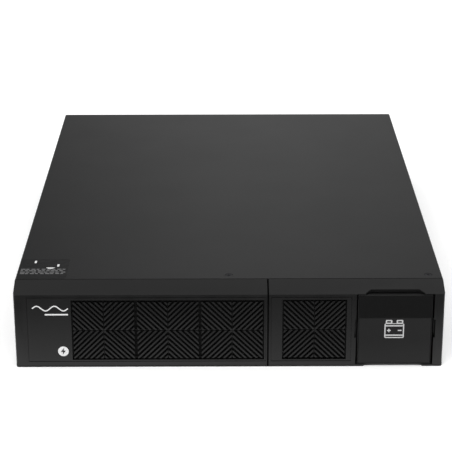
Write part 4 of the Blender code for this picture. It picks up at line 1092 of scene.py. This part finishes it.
def hold_down_pads():
    """Foam strip between each hold-down and the blocks."""
    for side, first, last in (("left", 2, 5), ("right", 8, 8)):
        low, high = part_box(f"{side}_hold_down")
        x = (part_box(f"battery_{first}")[0].x + 4 * MM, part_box(f"battery_{last}")[1].x - 4 * MM)
        y = (low.y + 0.5 * MM, high.y - 0.5 * MM)
        z = (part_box(f"battery_{first}")[1].z + 0.1 * MM, high.z - 1.1 * MM)
        show(f"{side}_hold_down_pad", block_mesh(x, y, z, 0.2 * MM), "foam", f"{side}_drawer", True)


def fuse_caps():
    """Nickel end cap on each end of the fuses."""
    for n in (1, 2, 3):
        low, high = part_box(f"fuse_{n}")
        radius, centre = (high.x - low.x) / 2, middle(f"fuse_{n}")
        profile = [(radius + 0.0002, 0), (radius + 0.0003, 0.0003), (radius + 0.0003, 0.0077)]
        profile.append((radius - 0.0004, 0.0083))
        caps = []
        for y, way in ((low.y + 8 * MM, FORWARD), (high.y - 8 * MM, BACKWARD)):
            caps.append(turned_mesh(profile, (centre.x, y, centre.z), way))
        show(f"fuse_{n}_caps", merged(*caps), "tin", "chassis", True)


# ---- stage ----
def staged_sheet(name, corners, material):
    """Four-cornered sheet, for the floor and the cards."""
    mesh = bpy.data.meshes.new(name)
    mesh.from_pydata(corners, [], [(0, 1, 2, 3)])
    mesh.materials.append(material)
    thing = placed(name, mesh)
    return thing


def card(name, corners, strength, falls=()):
    """Glowing sheet that shows only in reflections, with its strength graded by the falls."""
    material = bpy.data.materials.new(name)
    material.use_nodes = True
    tree = material.node_tree
    tree.nodes.clear()
    light = strength
    for axis, start, end, low, high in falls:
        place = add(tree, "ShaderNodeSeparateXYZ", _0=add(tree, "ShaderNodeTexCoord").outputs["Object"])
        ends = {"From_Min": start, "From_Max": end, "To_Min": low, "To_Max": high}
        share = add(tree, "ShaderNodeMapRange", Value=place.outputs[axis], **ends).outputs[0]
        light = add(tree, "ShaderNodeMath", {"operation": "MULTIPLY"}, _0=share, _1=light).outputs[0]
    glow = add(tree, "ShaderNodeEmission", Strength=light).outputs[0]
    add(tree, "ShaderNodeOutputMaterial", Surface=glow)
    thing = staged_sheet(name, corners, material)
    for ray in ("camera", "diffuse", "shadow", "transmission", "volume_scatter"):
        setattr(thing, f"visible_{ray}", False)


def level_card(name, x, y, z, strength, falls=()):
    card(name, [(u, v, z) for u, v in rectangle(x, y)], strength, falls)


def reflections():
    """What the dark surfaces mirror: the floor ahead and beside, a ceiling and the glow behind."""
    edge, level = FRONT - BRIGHT_FLOOR_REACH, 0.5 * MM
    level_card("dark_surround", (-3.0, 3.0), (-8.0, edge), level, DARK_SURROUND)
    level_card("near_floor", (-1.0, 1.0), (edge, FRONT - 1.0 * MM), level, NEAR_FLOOR, NEAR_FLOOR_FALLS)
    fall = [("Y", FRONT, FRONT + SIDE_FLOOR_DEPTH, 1.0, 0.0)]
    for side in (-1, 1):
        x = sorted(side * reach for reach in SIDE_FLOOR_SPAN)
        y = (FRONT + 2 * MM, FRONT + SIDE_FLOOR_DEPTH)
        level_card(f"side_floor_{side + 2}", x, y, 0.6 * MM, SIDE_FLOOR, fall)
    x = (-CARD_REACH, CARD_REACH)
    level_card("dim_ceiling", x, (-0.4, BACK_CARD), CARD_TOP, CEILING, CEILING_FALLS)
    corners = [(u, BACK_CARD, z) for u, z in rectangle(x, (BACK_CARD_FOOT, CARD_TOP))]
    card("back_glow", corners, BACK_GLOW, BACK_FALLS)


def floor():
    """Pale floor just under the object."""
    look = Surface("floor", (FLOOR_COLOUR,) * 3, 0.9, specular=0.1)
    look.set("Emission Color", (1, 1, 1, 1))
    look.set("Emission Strength", FLOOR_GLOW)
    span = (-FLOOR_REACH, FLOOR_REACH)
    thing = staged_sheet("floor", [(x, y, 0) for x, y in rectangle(span, span)], look.material)
    thing.location.z = FLOOR_LEVEL


def painted_floor_shadow():
    """Painted contact shadow: a dark sheet on the floor under the object, cut back under the square cover's
    lower notch.
    """
    low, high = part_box("base_tray")
    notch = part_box("battery_cover")
    left, right = low.x + 1 * MM, high.x - 1 * MM
    notch_left, notch_right = notch[0].x + 7 * MM, notch[1].x - 9 * MM
    near, clear, far = FRONT + 0.2 * MM, FRONT + 3.8 * MM, high.y - 2 * MM
    outline = [(left, near), (notch_left, near), (notch_left, clear), (notch_right, clear),
               (notch_right, near), (right, near), (right, far), (left, far)]
    shade = flat_mesh([outline], (FLOOR_LEVEL, FLOOR_LEVEL + 0.1 * MM), "top")
    # The foam look makes this sheet dark, as a painted shadow on the floor.
    shade.materials.append(LOOKS["foam"])
    placed("painted_floor_shadow", shade)


def lamp(name, place, size, power):
    """Square soft light that faces the middle and shows in no reflection."""
    light = bpy.data.lights.new(name, "AREA")
    light.shape = "RECTANGLE"
    light.size = light.size_y = size
    light.energy = power
    thing = placed(name, light)
    thing.visible_glossy = False
    thing.location = place
    thing.rotation_euler = (-Vector(place)).to_track_quat("-Z", "Y").to_euler()


def studio():
    floor()
    # Painted contact shadow under the object.
    painted_floor_shadow()
    reflections()
    lamp("key", (-1.6, -2.6, 3.0), 2.4, 60)
    lamp("fill", (2.4, -1.2, 2.4), 1.8, 18)
    world = bpy.data.worlds.new("studio")
    bpy.context.scene.world = world
    world.use_nodes = True
    world.node_tree.nodes["Background"].inputs["Color"].default_value = (SKY, SKY, SKY, 1)
    view = bpy.context.scene.view_settings
    view.view_transform = "Standard"
    view.look = "None"


def camera():
    lens = bpy.data.cameras.new("camera")
    lens.sensor_width = SENSOR
    lens.lens = LENS
    thing = placed("camera", lens)
    thing.location = (CAMERA_SIDE, FRONT - CAMERA_DISTANCE, CAMERA_HEIGHT)
    aim = Matrix.Rotation(CAMERA_YAW, 4, "Z") @ Matrix.Rotation(math.pi / 2 - CAMERA_PITCH, 4, "X")
    thing.rotation_euler = (aim @ Matrix.Rotation(CAMERA_ROLL, 4, "Z")).to_euler()
    bpy.context.scene.camera = thing


# ---- the frame's own nodes ----
SLOT_LOOKS = {s["node"]: s["material_slot"] for s in frame["record"]["subparts"]}
OWN_LOOKS = {
    "signal_jacks": "dark_housing", "dc_breaker": "dark_housing", "breaker_lever": "gloss_black",
    **{f"cover_screw_{n}": "black_steel" for n in (1, 2, 3)},
}
SOFT_EDGES = {  # nodes by the size of their rounding, in millimetres
    0.12: ["rear_panel"], 0.2: ["left_tray", "right_tray", "signal_jacks"],
    0.22: ["left_bezel", "right_bezel"],
    0.25: ["base_tray", "cover_plate", "left_hold_down", "right_hold_down"], 0.5: ["breaker_lever"],
    0.3: ["battery_cover", "output_connector", "link_connector", "dc_breaker", "service_plug"],
}


def dress_frame():
    edges = {name: size * MM for size, names in SOFT_EDGES.items() for name in names}
    for name in nodes:
        dress(name, OWN_LOOKS.get(name, SLOT_LOOKS[name]), edges.get(name, 0.0))


def grilles():
    grille("left_grille", 3, "left_front", 0.75 * MM)
    grille("right_grille", 1, "right_front", 0.2 * MM)


STEPS = (
    camera, studio, dress_frame, grilles, dust_filters, front_seal, front_marks, top_label, side_fasteners,
    rear_screws, connector_contacts, jack_contacts, breaker_marks, ground_detail, rating_label, thumbscrews,
    strap_fittings, drawer_labels, battery_details, left_leads, right_leads, hold_down_pads, fuse_caps,
)
for step in STEPS:
    step()
